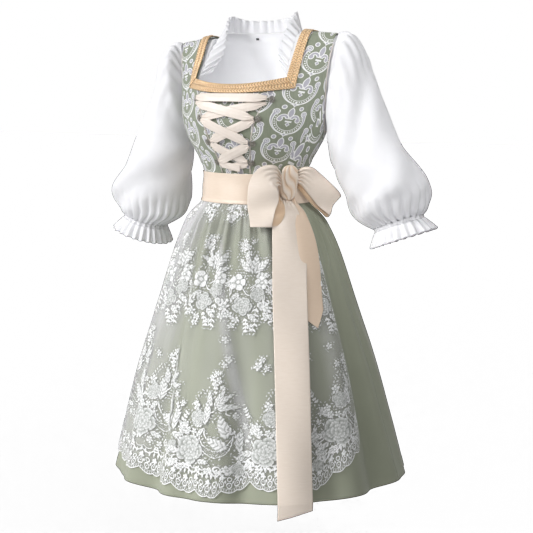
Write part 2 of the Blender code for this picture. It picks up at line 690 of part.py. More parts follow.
def make_lacing(garment):
    """Ribbon laced crosswise between the hooks, the bar at the top first, then four crossings."""
    bar, upper, lower = 0.0070, 0.0052, 0.0026
    between = (0.0039, 0.0065)
    clear = HOOK_RADIUS + 2 * SEAM
    half, height = HOOKS["half"], HOOKS["height"]
    top = (half[0] - clear, height[0] + 0.0015)
    ribbon("lace_top", (-top[0], top[1]), top, bar, (0.55, 0.55), garment, 0.0200)
    for number in range(1, 5):
        start = np.array([half[number - 1], height[number - 1]])
        if number < 4:
            end = np.array([half[number], height[number]])
        else:
            end = np.array([0.016, SASH_TOP + 0.0135])
        along = np.array([-start[0] - end[0], end[1] - start[1]])
        along /= np.linalg.norm(along)
        drop = np.array([0.0, -0.0065]) if number == 1 else np.zeros(2)
        begin = start + clear * along + drop
        reach = clear if number < 4 else 0.0
        stop = np.array([-end[0], end[1]]) - reach * along
        ends = (0.35, 0.35) if number < 4 else (0.35, 1.0)
        width = RIBBON if number < 4 else 0.8 * RIBBON
        over, under = between if number == 3 else (upper, lower)
        ribbon(f"lace_{number}a", (-begin[0], begin[1]), (-stop[0], stop[1]), over, ends, garment, width)
        ribbon(f"lace_{number}b", stop, begin, under, ends[::-1], garment, width)


# ---------------------------------------------------------------- blouse
def blouse_armhole(first, last):
    """The blouse's armhole edge, at the same places round the armhole as the sleeve's facets."""
    at = np.arange(first, last + 1) * ARMHOLE_END / SLEEVE_STEPS
    edge = armhole(at, -SEAM_ALLOWANCE)
    edge[:, 1] = np.minimum(edge[:, 1], BLOUSE_CREST)
    return edge


def on_blouse(chart):
    """Points of the blouse's outer face under the bodice; its front and back keep apart at the crest."""
    points = on_torso(chart, BLOUSE_LIFT)
    crest = TORSO["shift"][-1]
    clear = CLOTH + 2 * SEAM
    front = np.cos(chart[..., 0]) > 0
    kept = np.minimum(points[..., 1], crest - clear)
    kept = np.where(front, kept, np.maximum(points[..., 1], crest + clear))
    points[..., 1] = np.where(chart[..., 1] > 8.0, kept, points[..., 1])
    return points


def make_blouse_front(garment):
    """The front is open from its square neckline up, where it becomes two shoulder straps."""
    neck = table(
        "height half",
        (-0.140, 0.1170),
        (-0.098, 0.1166),
        (-0.075, 0.1128),
        (-0.035, 0.1102),
        (0.0000, 0.1060),
    )
    edge = blouse_armhole(0, SLEEVE_STEPS // 2)[::-1]
    low = row_at(TORSO, BLOUSE_HEM)
    side_angle = edge[0, 0] - 3 * SEAM / TORSO["half_width"].max()
    edge[0, 0] = side_angle
    edge = np.concatenate([[(side_angle, low)], edge])
    rows = edge[:, 1]
    height = smooth(TORSO["height"], rows)
    half = np.interp(height, neck["height"], neck["half"])
    inner = np.arcsin(half / smooth(TORSO["half_width"], rows))
    strap = mix(inner[:, None], edge[:, :1], np.linspace(0.0, 1.0, 5))
    middle = inner[:, None] * np.linspace(-1.0, 1.0, 9)[1:-1]
    angle = np.concatenate([-strap[:, ::-1], middle, strap], axis=1)
    chart = np.stack([angle, np.broadcast_to(rows[:, None], angle.shape)], axis=-1)
    cut = np.zeros((len(rows) - 1, angle.shape[1] - 1), dtype=bool)
    cut[height[:-1] > BLOUSE_NECK_LEVEL, 4:-4] = True
    cloth("blouse_front", on_blouse(chart), "blouse", garment, cut=cut)


def make_blouse_back(garment):
    """The back goes up under the bodice and stands above its neckline to the collar seam."""
    edge = blouse_armhole(SLEEVE_STEPS // 2, SLEEVE_STEPS)
    edge[0, 0] += 3 * SEAM / TORSO["half_width"].max()
    edge = np.concatenate([[(edge[0, 0], row_at(TORSO, BLOUSE_HEM))], edge])
    share = np.linspace(0.0, 1.0, 11)
    angle = mix(edge[:, :1], math.pi, share)
    chart = np.stack([angle, np.broadcast_to(edge[:, 1:], angle.shape)], axis=-1)
    body = on_blouse(chart)
    fixed = 8                   # rows from the hem that simply follow the body

    shoulder = 0.4
    neck_angle = chart_at(COLLAR["seam_x"][COLLAR_SIDE], 0.0, back=True)[0]
    crest_angle = mix(edge[-1, 0], neck_angle, np.minimum(share / shoulder, 1.0))
    on_crest = on_blouse(np.stack([crest_angle, 0 * share + BLOUSE_CREST], axis=-1))
    at = COLLAR_SIDE * np.clip((1.0 - share) / (1.0 - shoulder), 0.0, 1.0)
    top = np.where((share <= shoulder)[:, None], on_crest, collar_edge("seam", at, 1.0))
    full = 1.0 - 0.75 * ease((share - 0.3) / 0.4)[:, None]
    half = [*body[:fixed]]
    base, crest = body[fixed - 1], body[-1]
    for row in range(fixed, len(edge)):
        part = (edge[row, 1] - edge[fixed - 1, 1]) / (edge[-1, 1] - edge[fixed - 1, 1])
        bulge = body[row] - mix(base, crest, part)
        half.append(mix(base, top, part) + full * bulge)
    half = np.array(half)
    other = half[:, ::-1] * np.array([-1.0, 1.0, 1.0])
    raised = LEAN * half[:, ::-1, 0] * ease((half[:, ::-1, 2] + 0.150) / 0.120)
    other[..., 2] -= 2 * raised
    cloth("blouse_back", np.concatenate([half, other[:, 1:]], axis=1), "blouse", garment)


def collar_edge(column, at, side):
    """Points along the collar's seam or free edge on one side, leaning with the shoulders.

    From the side of the neck down, the seam runs over the blouse, at the table's x and height.
    """
    points = np.stack([COLLAR[f"{column}_{axis}"] for axis in "xyz"], axis=-1)
    if column == "seam":
        over = chart_at(points[COLLAR_SIDE:, 0], np.minimum(points[COLLAR_SIDE:, 2], 0.0))
        leaning = [on_torso(over * (turn, 1.0), BLOUSE_LIFT) for turn in (1.0, -1.0)]
        points[COLLAR_SIDE:, 1:] = (leaning[0] + leaning[1])[:, 1:] / 2
    points = smooth(points, at)
    points[:, 0] *= side
    points[:, 2] += LEAN * points[:, 0] * ease((points[:, 2] + 0.150) / 0.120)
    return points


def make_collar(garment):
    last = len(COLLAR["seam_x"]) - 1
    at = np.linspace(-last, last, 2 * COLLAR_WAVES + 1)
    side = np.where(at < 0, -1.0, 1.0)
    seam = collar_edge("seam", np.abs(at), side)
    free = collar_edge("free", np.abs(at), side)
    direction = free - seam
    direction /= np.linalg.norm(direction, axis=-1, keepdims=True)
    along = np.gradient(seam, axis=0)
    outward = np.cross(along, direction)
    outward /= np.linalg.norm(outward, axis=-1, keepdims=True)
    wave = 0.0022 * np.where(np.arange(len(at)) % 2, 1.0, -1.0)[:, None]
    grid = np.array([seam + 3 * SEAM * direction, free + wave * outward])[:, ::-1]
    cloth("collar_frill", grid, "blouse", garment, THIN_CLOTH)


def make_size_tab(garment):
    """A small blank woven tab inside the back of the neck."""
    mesh = bpy.data.meshes.new("size_tab")
    shape = bmesh.new()
    bmesh.ops.create_cube(shape, size=1.0, matrix=Matrix.Diagonal((0.007, 0.0006, 0.005, 1.0)))
    shape.to_mesh(mesh)
    shape.free()
    tab = add_object("size_tab", mesh, "blouse", garment)
    tab.location = (-0.0330, 0.0702, -0.0120)
    tab.rotation_euler = (math.radians(12.0), 0.0, math.radians(11.5))


def sleeve_sections(side):
    """Rings of the sleeve's outer face, from the armhole seam to the gathered wrist."""
    part = np.arange(SLEEVE_STEPS) / SLEEVE_STEPS
    angle = 2 * math.pi * part
    chart = armhole(ARMHOLE_END * part, -SEAM_ALLOWANCE - 4 * SEAM) * (side, 1.0)
    crest = armhole(np.array([0.0, ARMHOLE_END]), -SEAM_ALLOWANCE) * (side, 1.0)
    first = on_blouse(chart)
    first[0] = on_blouse(crest).mean(axis=0) + np.array([side * 3 * SEAM, 0.0, 0.0])
    rings = [first, on_torso(chart, 0.0015)]
    slim = SLEEVE_SLIM if side < 0 else 0.0
    for row in range(len(SLEEVE["outer_x"])):
        size = {name: SLEEVE[name][row] for name in SLEEVE}
        lean = side * SLEEVE_LEAN
        inner_lean = lean * min(1.0, (row + 1) / 4)
        outer = np.array([size["outer_x"] - slim, 0.0, size["outer_z"] + lean * size["outer_x"]])
        inner = np.array([size["inner_x"], 0.0, size["inner_z"] + inner_lean * size["inner_x"]])
        middle = (outer + inner) / 2 + np.array([0.0, size["middle_y"], 0.0])
        across = (outer - inner) / 2
        ring = middle + across * np.cos(angle)[:, None]
        ring[:, 1] -= size["half_depth"] * np.sin(angle)
        ring[:, 0] *= side
        rings.append(ring)
    return np.array(rings)


def make_sleeves(garment):
    for name, side in (("l", 1.0), ("r", -1.0)):
        rings = sleeve_sections(side)
        order = slice(None) if side > 0 else slice(None, None, -1)
        cloth(f"blouse_sleeve_{name}", rings[:, order], "blouse", garment, ring=True)

        wrist = rings[-1]
        centre = wrist.mean(axis=0)
        axis = np.cross(wrist[0] - centre, wrist[4] - centre)
        axis /= np.linalg.norm(axis) * side
        band = [wrist + axis * (2 * SEAM), wrist + axis * CUFF_BAND]
        cloth(f"cuff_band_{name}", np.array(band)[:, order], "blouse", garment, ring=True)

        spokes = np.arange(2 * CUFF_WAVES) / (2 * CUFF_WAVES)
        around = spokes * len(wrist)
        closed = np.concatenate([wrist, wrist[:1]])
        top = smooth(closed, around) + axis * (CUFF_BAND + 2 * SEAM)
        out = top - (centre + axis * (CUFF_BAND + 2 * SEAM))
        out /= np.linalg.norm(out, axis=-1, keepdims=True)
        wave = 0.0025 * np.where(np.arange(len(top)) % 2, 1.0, -1.0)[:, None]
        length = CUFF_FRILL - CUFF_BAND
        end = top + axis * length + out * (FRILL_SPREAD + wave)
        frill = np.array([top, end])
        cloth(f"cuff_frill_{name}", frill[:, order], "blouse", garment, THIN_CLOTH, ring=True)


# ---------------------------------------------------------------- skirt, apron and sash
SKIRT_LEVELS = np.array([-0.3455, -0.365, -0.385, -0.415, -0.47, -0.58, -0.76, -1.035])
HALF_STEPS = 29             # skirt facets across the front, and across the back


def make_skirt(garment):
    quarter = math.pi / 2
    edge = 0.0018
    for name, middle in (("front", 0.0), ("back", math.pi)):
        angle = middle + np.linspace(-quarter + edge, quarter - edge, HALF_STEPS + 1)
        levels = SKIRT_LEVELS[::-1]
        points = folded_skirt(angle[None, :], levels[:, None])
        cloth(f"skirt_{name}", points, "skirt", garment, THIN_CLOTH)


def apron_lift(height):
    """How far the apron's outer face stands off the skirt: close under the sash, freer below."""
    return mix(0.0014, 0.0045, ease((-0.388 - height) / 0.05))


def make_apron(garment):
    reach = math.radians(APRON_HALF_ANGLE)
    angle = np.linspace(-math.pi / 2 + 0.0018, math.pi / 2 - 0.0018, HALF_STEPS + 1)
    angle = np.concatenate([[-reach], angle[np.abs(angle) < reach - 0.01], [reach]])
    rise = np.interp(np.degrees(angle), APRON_HEM["angle"], APRON_HEM["rise"])
    hem = HEM + rise
    upper = np.array([APRON_TOP, *SKIRT_LEVELS[1:-1]])
    height = np.concatenate([np.broadcast_to(upper[:, None], (len(upper), len(angle))), hem[None]])
    points = folded_skirt(angle[None, :], height, apron_lift(height))
    cloth("apron_panel", points[::-1], "lace", garment, THIN_CLOTH)


def make_sash_band(garment):
    angle = np.linspace(0.0, 2 * math.pi, 49)[:-1]
    height = np.array([SASH_BOTTOM, SKIRT_LEVELS[0], SASH_TOP])
    points = over_skirt(angle[None, :], height[:, None], SASH_LIFT)
    cloth("sash_band", points, "satin", garment, ring=True)


def ribbon_over_body(name, path, rows, garment, surface=over_skirt, drops=0.0):
    """A wide ribbon over the body, through a table of places, widths and slants.

    Drops lowers each column's last point, for an end that is cut at a slant.
    """
    last = len(path["angle"]) - 1
    at = np.linspace(0, last, rows)
    place = {column: smooth(path[column], at) for column in path}
    level = np.zeros(rows)
    slant = np.radians(place.get("slant", level))
    share = np.linspace(-1.0, 1.0, 4)[None, :]
    reach = place["half_width"][:, None] * share
    angle = np.radians(place["angle"])
    step = 0.01
    ahead = over_skirt(angle + step, place["height"])
    behind = over_skirt(angle - step, place["height"])
    metres = np.linalg.norm(ahead - behind, axis=-1) / (2 * step)
    angles = angle[:, None] + reach * (np.cos(slant) / metres)[:, None]
    heights = place["height"][:, None] + reach * np.sin(slant)[:, None]
    heights = heights - np.maximum(at - last + 1, 0.0)[:, None] * np.asarray(drops)
    crown = 0.0015 * (1.0 - share**2)
    lift = place["lift"][:, None] + place.get("tilt", level)[:, None] * share + crown
    points = surface(angles, heights, lift)
    cloth(name, points, "satin", garment, THIN_CLOTH)


def make_knot(garment):
    """The knot, a soft pad that leans with the flare of the bodice above the waist."""
    mesh = bpy.data.meshes.new("sash_knot")
    shape = bmesh.new()
    bmesh.ops.create_cube(shape, size=1.0, matrix=Matrix.Diagonal((*KNOT_CAGE, 1.0)))
    shape.to_mesh(mesh)
    shape.free()
    mesh.shade_smooth()
    knot = add_object("sash_knot", mesh, "satin", garment)
    soft = knot.modifiers.new("soft", "SUBSURF")
    soft.levels = 2
    soft.render_levels = 2
    half = 0.4 * KNOT_CAGE[2]
    heights = np.array([KNOT_HEIGHT - half, KNOT_HEIGHT, KNOT_HEIGHT + half])
    low, middle, high = over_skirt(np.radians(KNOT_ANGLE), heights, KNOT_LIFT)
    out = over_skirt(np.radians(KNOT_ANGLE), heights, KNOT_LIFT + 0.01)[1] - middle
    upright = Vector(high - low).normalized()
    outward = Vector(out)
    outward = (outward - outward.project(upright)).normalized()
    turn = Matrix((upright.cross(outward), -outward, upright)).transposed().to_4x4()
    knot.matrix_world = Matrix.Translation(Vector((low + high) / 2)) @ turn


def make_bow(garment):
    make_knot(garment)
    ribbon_over_body("sash_loop_r", LOOP_RIGHT_HAND, 19, garment, beside_body)
    ribbon_over_body("sash_loop_l", LOOP_LEFT_HAND, 17, garment, beside_body)
    ribbon_over_body("sash_tail_long", TAIL_LONG, 15, garment, drops=TAIL_LONG_END)
    ribbon_over_body("sash_tail_short", TAIL_SHORT, 9, garment, drops=TAIL_SHORT_END)


# ---------------------------------------------------------------- assembly
def main():
    for old in list(bpy.data.objects):
        bpy.data.objects.remove(old, do_unlink=True)
    garment = bpy.data.collections.new("dirndl_set")
    bpy.context.scene.collection.children.link(garment)
    make_blouse_front(garment)
    make_blouse_back(garment)
    make_collar(garment)
    make_size_tab(garment)
    make_sleeves(garment)
    make_centre(garment)
    make_fronts(garment)
    make_sides(garment)
    make_backs(garment)
    make_piping(garment)
    make_braid(garment)
    make_hooks(garment)
    make_lacing(garment)
    make_skirt(garment)
    make_apron(garment)
    make_sash_band(garment)
    make_bow(garment)


main()
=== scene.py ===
"""A dirndl set, worn but with nobody in it: white blouse, laced brocade bodice, gathered sage
skirt, embroidered net apron, and a champagne satin sash tied in a bow.

Metres, +Z up, the front faces -Y, and the wearer's left is +X. A point of the body is given by
its angle round the body, from the front middle towards the wearer's left, and by its height.
"""
import math

import bpy
import numpy as np
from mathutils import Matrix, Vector


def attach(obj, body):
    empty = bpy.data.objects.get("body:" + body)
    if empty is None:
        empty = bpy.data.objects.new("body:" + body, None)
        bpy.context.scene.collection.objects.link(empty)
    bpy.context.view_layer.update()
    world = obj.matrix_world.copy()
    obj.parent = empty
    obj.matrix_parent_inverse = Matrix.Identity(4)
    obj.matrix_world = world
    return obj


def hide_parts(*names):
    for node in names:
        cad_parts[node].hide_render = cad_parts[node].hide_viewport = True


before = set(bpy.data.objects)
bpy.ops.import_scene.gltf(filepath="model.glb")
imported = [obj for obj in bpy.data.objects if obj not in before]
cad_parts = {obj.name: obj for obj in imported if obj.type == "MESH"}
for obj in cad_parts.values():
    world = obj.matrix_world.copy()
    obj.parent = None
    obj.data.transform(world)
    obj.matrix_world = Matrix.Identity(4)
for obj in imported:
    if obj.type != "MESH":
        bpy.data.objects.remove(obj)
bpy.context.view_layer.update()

# ------------------------------------------------------------------------------------------
# Blouse body: plain white cotton, one front and one back, cut to the body and cropped under
# the bodice. The front is open above its square neck, and the back rises to the collar seam.
# ------------------------------------------------------------------------------------------
def table(names, *rows):
    """A table with named columns, as one array per name."""
    return dict(zip(names.split(), np.array(rows, dtype=float).T))


TORSO = table(
    "height half_width front back shift fullness",
    (-0.345, 0.1265, 0.098, 0.090, 0.000, 0.000),
    (-0.315, 0.1260, 0.098, 0.090, 0.000, 0.000),
    (-0.285, 0.1390, 0.103, 0.094, 0.000, 0.005),
    (-0.255, 0.1580, 0.112, 0.100, 0.000, 0.010),
    (-0.225, 0.1740, 0.120, 0.104, 0.000, 0.014),
    (-0.185, 0.1860, 0.120, 0.106, 0.000, 0.019),
    (-0.140, 0.1900, 0.100, 0.106, 0.000, 0.027),
    (-0.095, 0.1930, 0.078, 0.102, 0.000, 0.015),
    (-0.050, 0.2000, 0.050, 0.092, 0.004, 0.000),
    (-0.016, 0.2070, 0.029, 0.069, 0.010, 0.000),
    (-0.003, 0.2100, 0.014, 0.038, 0.013, 0.000),
    (0.0000, 0.2100, 0.000, 0.000, 0.014, 0.000),
)
CREST = 11
CREST_SEAM = CREST - 0.10
ARMHOLE = table(
    "angle height",
    (71.4, 0.000),
    (74.0, -0.050),
    (77.0, -0.095),
    (78.5, -0.140),
    (81.0, -0.178),
    (86.0, -0.211),
    (93.0, -0.225),
    (101.0, -0.212),
    (108.0, -0.178),
    (112.0, -0.140),
    (112.0, -0.095),
    (110.5, -0.050),
    (108.6, 0.000),
)
ARMHOLE_END = 12
ARMHOLE_BOTTOM = 6
LEAN = 0.045                # the set hangs a little higher on the wearer's left
LEAN_FROM = -0.150          # the lean comes in from here up, over the next height
LEAN_OVER = 0.120
SHOULDER_SLOPE = 0.13       # fall of the shoulders per metre outwards
SHOULDER_FROM = 0.120       # x beyond which the shoulders slope down
BUST_HALF = 0.150           # x at which the bust's fullness has died away
BUST_EDGE = 0.095           # width over which it dies away
HAIR = 1e-4                 # step of a difference along a surface


def smooth(values, at):
    """Cubic through evenly numbered rows; a row's slope is half the step between its neighbours."""
    values = np.asarray(values, dtype=float)
    at = np.asarray(at, dtype=float)
    slope = np.gradient(values, axis=0)
    first = np.clip(np.floor(at).astype(int), 0, len(values) - 2)
    t = (at - first).reshape(at.shape + (1,) * (values.ndim - 1))
    start = (2 * t**3 - 3 * t**2 + 1) * values[first] + (t**3 - 2 * t**2 + t) * slope[first]
    end = (3 * t**2 - 2 * t**3) * values[first + 1] + (t**3 - t**2) * slope[first + 1]
    return start + end


def ease(amount):
    """Smooth step: 0 below 0, 1 above 1, level at both ends."""
    amount = np.clip(amount, 0.0, 1.0)
    return amount * amount * (3.0 - 2.0 * amount)


def mix(start, end, share):
    return start + (end - start) * share


def row_at(sections, height):
    """Row number at which a table of sections reaches a height."""
    rows = np.linspace(0, len(sections["height"]) - 1, 900)
    heights = smooth(sections["height"], rows)
    order = np.argsort(heights)
    return np.interp(height, heights[order], rows[order])


def leaning(height):
    """0 at the armpits and below, 1 at the shoulders: how much of the lean a height gets."""
    return ease((height - LEAN_FROM) / LEAN_OVER)


def torso(angle, row):
    """Bodice surface: an ellipse per row, with the bust's fullness added over the middle.

    Towards the shoulders it leans to one side and slopes down from the neck.
    """
    angle, row = np.broadcast_arrays(np.asarray(angle, float), np.asarray(row, float))
    size = {name: smooth(TORSO[name], row) for name in TORSO}
    x = size["half_width"] * np.sin(angle)
    turn = np.cos(angle)
    middle = ease((BUST_HALF - np.abs(x)) / BUST_EDGE)
    front = size["front"] * turn + size["fullness"] * middle * (turn > 0)
    y = size["shift"] - np.where(turn > 0, front, size["back"] * turn)
    slope = SHOULDER_SLOPE * np.maximum(np.abs(x) - SHOULDER_FROM, 0.0)
    z = size["height"] + leaning(size["height"]) * (LEAN * x - slope)
    return np.stack([x, y, z], axis=-1)


def lifted(surface, u, v, lift):
    """A point of a surface of (u, v), moved along its normal, from differences a hair apart."""
    across = surface(u + HAIR, v) - surface(u - HAIR, v)
    up = surface(u, v + HAIR) - surface(u, v - HAIR)
    normal = np.cross(across, up)
    normal /= np.linalg.norm(normal, axis=-1, keepdims=True)
    return surface(u, v) + normal * np.asarray(lift)[..., None]


def on_torso(chart, lift=0.0):
    """Points over the bodice for an array of (angle, row)."""
    lift = np.broadcast_to(lift, chart.shape[:-1])
    return lifted(torso, chart[..., 0], np.minimum(chart[..., 1], CREST - 0.01), lift)


def chart_at(x, height, back=False):
    """(angle, row) of the body's point with a given x and height."""
    x, height = np.broadcast_arrays(np.asarray(x, float), np.asarray(height, float))
    row = row_at(TORSO, height)
    angle = np.arcsin(np.clip(x / smooth(TORSO["half_width"], row), -1, 1))
    if back:
        angle = math.pi - angle
    return np.stack([angle, row], axis=-1)


def armhole(at, grow=0.0):
    """(angle, row) along the armhole; grow moves the edge away from the hole, in metres."""
    at = np.asarray(at, dtype=float)

    def edge(place):
        angle = np.radians(smooth(ARMHOLE["angle"], place))
        return angle, row_at(TORSO, smooth(ARMHOLE["height"], place))

    angle, row = edge(at)
    row = np.minimum(row, CREST_SEAM)
    step = 0.02
    across = np.linalg.norm(torso(angle + step, row) - torso(angle - step, row), axis=-1) / (2 * step)
    up = np.linalg.norm(torso(angle, row + step) - torso(angle, row - step), axis=-1) / (2 * step)
    ahead = edge(np.minimum(at + step, ARMHOLE_END))
    behind = edge(np.maximum(at - step, 0))
    along = (ahead[0] - behind[0]) * across
    rise = (ahead[1] - behind[1]) * up
    length = np.hypot(along, rise)
    angle = angle + grow * rise / length / across
    row = row - grow * along / length / up
    return np.stack([angle, np.minimum(row, CREST_SEAM)], axis=-1)


def spread(points):
    """Distance along the columns and along the rows of a grid, in metres: the cloth laid flat."""
    u = np.zeros(points.shape[:2])
    v = np.zeros(points.shape[:2])
    u[:, 1:] = np.cumsum(np.linalg.norm(np.diff(points, axis=1), axis=-1), axis=1)
    v[1:] = np.cumsum(np.linalg.norm(np.diff(points, axis=0), axis=-1), axis=0)
    return np.stack([u, v], axis=-1)


def facing(points, ring=False):
    """Unit normals of a grid whose columns go to the right and whose rows go up."""
    if ring:
        around = np.concatenate([points[:, -1:], points, points[:, :1]], axis=1)
        across = around[:, 2:] - around[:, :-2]
    else:
        across = np.gradient(points, axis=1)
    normal = np.cross(across, np.gradient(points, axis=0))
    return normal / np.maximum(np.linalg.norm(normal, axis=-1, keepdims=True), 1e-12)


def pushed(points, amount, ring=False):
    """A grid moved along its own normals by an amount per point: folds, gathers and ridges."""
    return points + facing(points, ring) * np.asarray(amount)[..., None]


def ripple(*terms):
    """Sum of sine waves, each given as (size, phase array)."""
    return sum(size * np.sin(phase) for size, phase in terms)


def panel(name, points, finish, nodes=(), thick=None, ring=False, fields=None, keep=None, uv=None):
    """A piece of cloth from a grid of points on its outer face, with fields as its attributes.

    A ring joins the last column to the first. Keep marks the faces that are used. The UV map
    is the cloth laid flat, in metres. Solidify gives the cloth its thickness inwards.
    """
    rows, columns = points.shape[:2]
    number = np.arange(rows * columns).reshape(rows, columns)
    layout = spread(points) if uv is None else uv
    layout_columns = layout
    if ring:
        number = np.concatenate([number, number[:, :1]], axis=1)
        last = layout[:, -1:] + (layout[:, -1:] - layout[:, -2:-1]) * (1.0, 0.0)
        layout_columns = np.concatenate([layout, last], axis=1)
    steps = np.arange(number.size).reshape(number.shape)
    corners = np.stack([steps[:-1, :-1], steps[:-1, 1:], steps[1:, 1:], steps[1:, :-1]], axis=-1)
    corners = corners.reshape(-1, 4) if keep is None else corners[keep]
    used, faces = np.unique(number.ravel()[corners], return_inverse=True)
    faces = faces.reshape(-1)
    mesh = bpy.data.meshes.new(name)
    mesh.vertices.add(len(used))
    mesh.vertices.foreach_set("co", points.reshape(-1, 3)[used].ravel())
    mesh.loops.add(len(faces))
    mesh.loops.foreach_set("vertex_index", faces.astype(np.int32))
    mesh.polygons.add(len(faces) // 4)
    mesh.polygons.foreach_set("loop_start", np.arange(0, len(faces), 4, dtype=np.int32))
    mesh.update(calc_edges=True)
    layer = mesh.uv_layers.new(name="cloth")
    layer.data.foreach_set("uv", layout_columns.reshape(-1, 2)[corners.ravel()].ravel())
    for field, values in (fields or {}).items():
        attribute = mesh.attributes.new(field, "FLOAT", "POINT")
        values = np.broadcast_to(values, (rows, columns))
        attribute.data.foreach_set("value", values.ravel()[used].astype(np.float32))
    mesh.shade_smooth()
    mesh.materials.append(finish.material)
    piece = bpy.data.objects.new(name, mesh)
    bpy.context.scene.collection.objects.link(piece)
    if thick:
        wall = piece.modifiers.new("wall", "SOLIDIFY")
        wall.thickness = thick
        wall.offset = -1.0
    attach(piece, "root")
    if nodes:
        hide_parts(*nodes)
    return piece


class Wire:
    """A shader socket that works in sums: an expression on it adds its Math nodes."""

    def __init__(self, finish, socket):
        self.finish = finish
        self.socket = socket

    def math(self, operation, *values):
        sockets = dict(enumerate(values))
        return self.finish.add("Math", sockets, operation=operation)

    def __add__(self, other):
        return self.math("ADD", self, other)

    def __sub__(self, other):
        return self.math("SUBTRACT", self, other)

    def __rsub__(self, other):
        return self.math("SUBTRACT", other, self)

    def __mul__(self, other):
        return self.math("MULTIPLY", self, other)

    __radd__ = __add__
    __rmul__ = __mul__


class Finish:
    """The material of one kind of piece. Its constants are set on the shader's own sockets."""

    def __init__(self, name, **constants):
        self.material = bpy.data.materials.new(name)
        self.material.use_nodes = True
        self.tree = self.material.node_tree
        self.shader = self.tree.nodes["Principled BSDF"]
        for socket, value in constants.items():
            self.shader.inputs[socket.replace("_", " ")].default_value = value

    def add(self, kind, sockets=None, out=0, **settings):
        """Any node: its type, its settings, then the values or links of its sockets."""
        node = self.tree.nodes.new("ShaderNode" + kind)
        for name, value in settings.items():
            setattr(node, name, value)
        for name, value in (sockets or {}).items():
            self.feed(node.inputs[name], value)
        return Wire(self, node.outputs[out])

    def feed(self, socket, value):
        if isinstance(value, Wire):
            self.tree.links.new(value.socket, socket)
        else:
            socket.default_value = value

    def give(self, **inputs):
        for name, value in inputs.items():
            self.feed(self.shader.inputs[name.replace("_", " ")], value)

    def laid_flat(self):
        """Place on the cloth laid flat, in metres: across, then along."""
        place = self.add("SeparateXYZ", {0: self.add("UVMap", uv_map="cloth")}).socket.node
        return Wire(self, place.outputs["X"]), Wire(self, place.outputs["Y"])

    def field(self, name):
        return self.add("Attribute", attribute_name=name, out="Fac")

    def blend(self, share, first, second):
        """The first colour where the share is 0, the second where it is 1.

        A Mix node's colours are its sockets 6 and 7, and their mix is its output 2.
        """
        return self.add("Mix", {"Factor": share, 6: first, 7: second}, out=2, data_type="RGBA")

    def step(self, value, low, high):
        """0 to 1 as a value goes from low to high, with soft ends."""
        sockets = {"Value": value, "From Min": low, "From Max": high}
        return self.add("MapRange", sockets, interpolation_type="SMOOTHSTEP")

    def noise(self, scale, detail=2.0, stretch=(1.0, 1.0, 1.0)):
        """Noise in space, with so many grains per metre."""
        place = self.add("TexCoord", out="Object")
        place = self.add("Mapping", {"Vector": place, "Scale": stretch})
        return self.add("TexNoise", {"Vector": place, "Scale": scale, "Detail": detail})

    def bump(self, height, distance, strength=1.0):
        sockets = {"Height": height, "Distance": distance, "Strength": strength}
        self.give(Normal=self.add("Bump", sockets))


def weave(finish, threads):
    """Height of a plain weave: threads per metre cross over and under each other."""
    across, along = (place * (threads * 2 * math.pi) for place in finish.laid_flat())
    return across.math("SINE", across) * along.math("SINE", along)


cotton = Finish("white_cotton", Roughness=0.85, Sheen_Weight=0.15, Sheen_Roughness=0.5)
crumple = cotton.noise(26.0, 4.0)
cotton.give(Base_Color=cotton.blend(crumple, (0.80, 0.80, 0.83, 1), (0.88, 0.88, 0.90, 1)))
cotton.bump(crumple * 1.0 + weave(cotton, 900.0) * 0.04, 0.0025, 0.5)

BLOUSE_LIFT = -0.0054
BLOUSE_HEM = -0.250
BLOUSE_SIDE = -0.228        # the side edge is straight up to here
BLOUSE_NECK_LEVEL = -0.145
BLOUSE_CREST = CREST - 0.22
BLOUSE_NECK = table(
    "height half",
    (-0.140, 0.1170),
    (-0.098, 0.1166),
    (-0.075, 0.1128),
    (-0.035, 0.1102),
    (0.0000, 0.1060),
)
SEAM_ALLOWANCE = 0.0070
SEAM_CLEAR = 0.0018         # front and back stay this far from the crest
SIDE_GAP = 0.004            # and this far from the side seam, in radians
SHOULDER_ROW = 8.0          # front and back are kept apart above this row
STRAP_COLUMNS = 14
HEM_ROWS = 4
BLOUSE_COTTON = 0.0010


def on_blouse(chart, lift=BLOUSE_LIFT):
    """Under the bodice at a steady depth; front and back keep apart at the shoulder's crest."""
    points = on_torso(chart, lift)
    crest = TORSO["shift"][-1]
    front = np.cos(chart[..., 0]) > 0
    kept = np.minimum(points[..., 1], crest - SEAM_CLEAR)
    kept = np.where(front, kept, np.maximum(points[..., 1], crest + SEAM_CLEAR))
    points[..., 1] = np.where(chart[..., 1] > SHOULDER_ROW, kept, points[..., 1])
    return points


def blouse_edge(places, gap):
    """The blouse's side edge: straight up from its hem, then along the armhole, moved by a gap."""
    edge = armhole(places, -SEAM_ALLOWANCE)
    edge[:, 1] = np.minimum(edge[:, 1], BLOUSE_CREST)
    hem = np.linspace(row_at(TORSO, BLOUSE_HEM), row_at(TORSO, BLOUSE_SIDE), HEM_ROWS + 1)[:-1]
    edge = np.concatenate([np.stack([np.full(HEM_ROWS, edge[0, 0]), hem], axis=-1), edge])
    edge[:, 0] += gap
    return edge


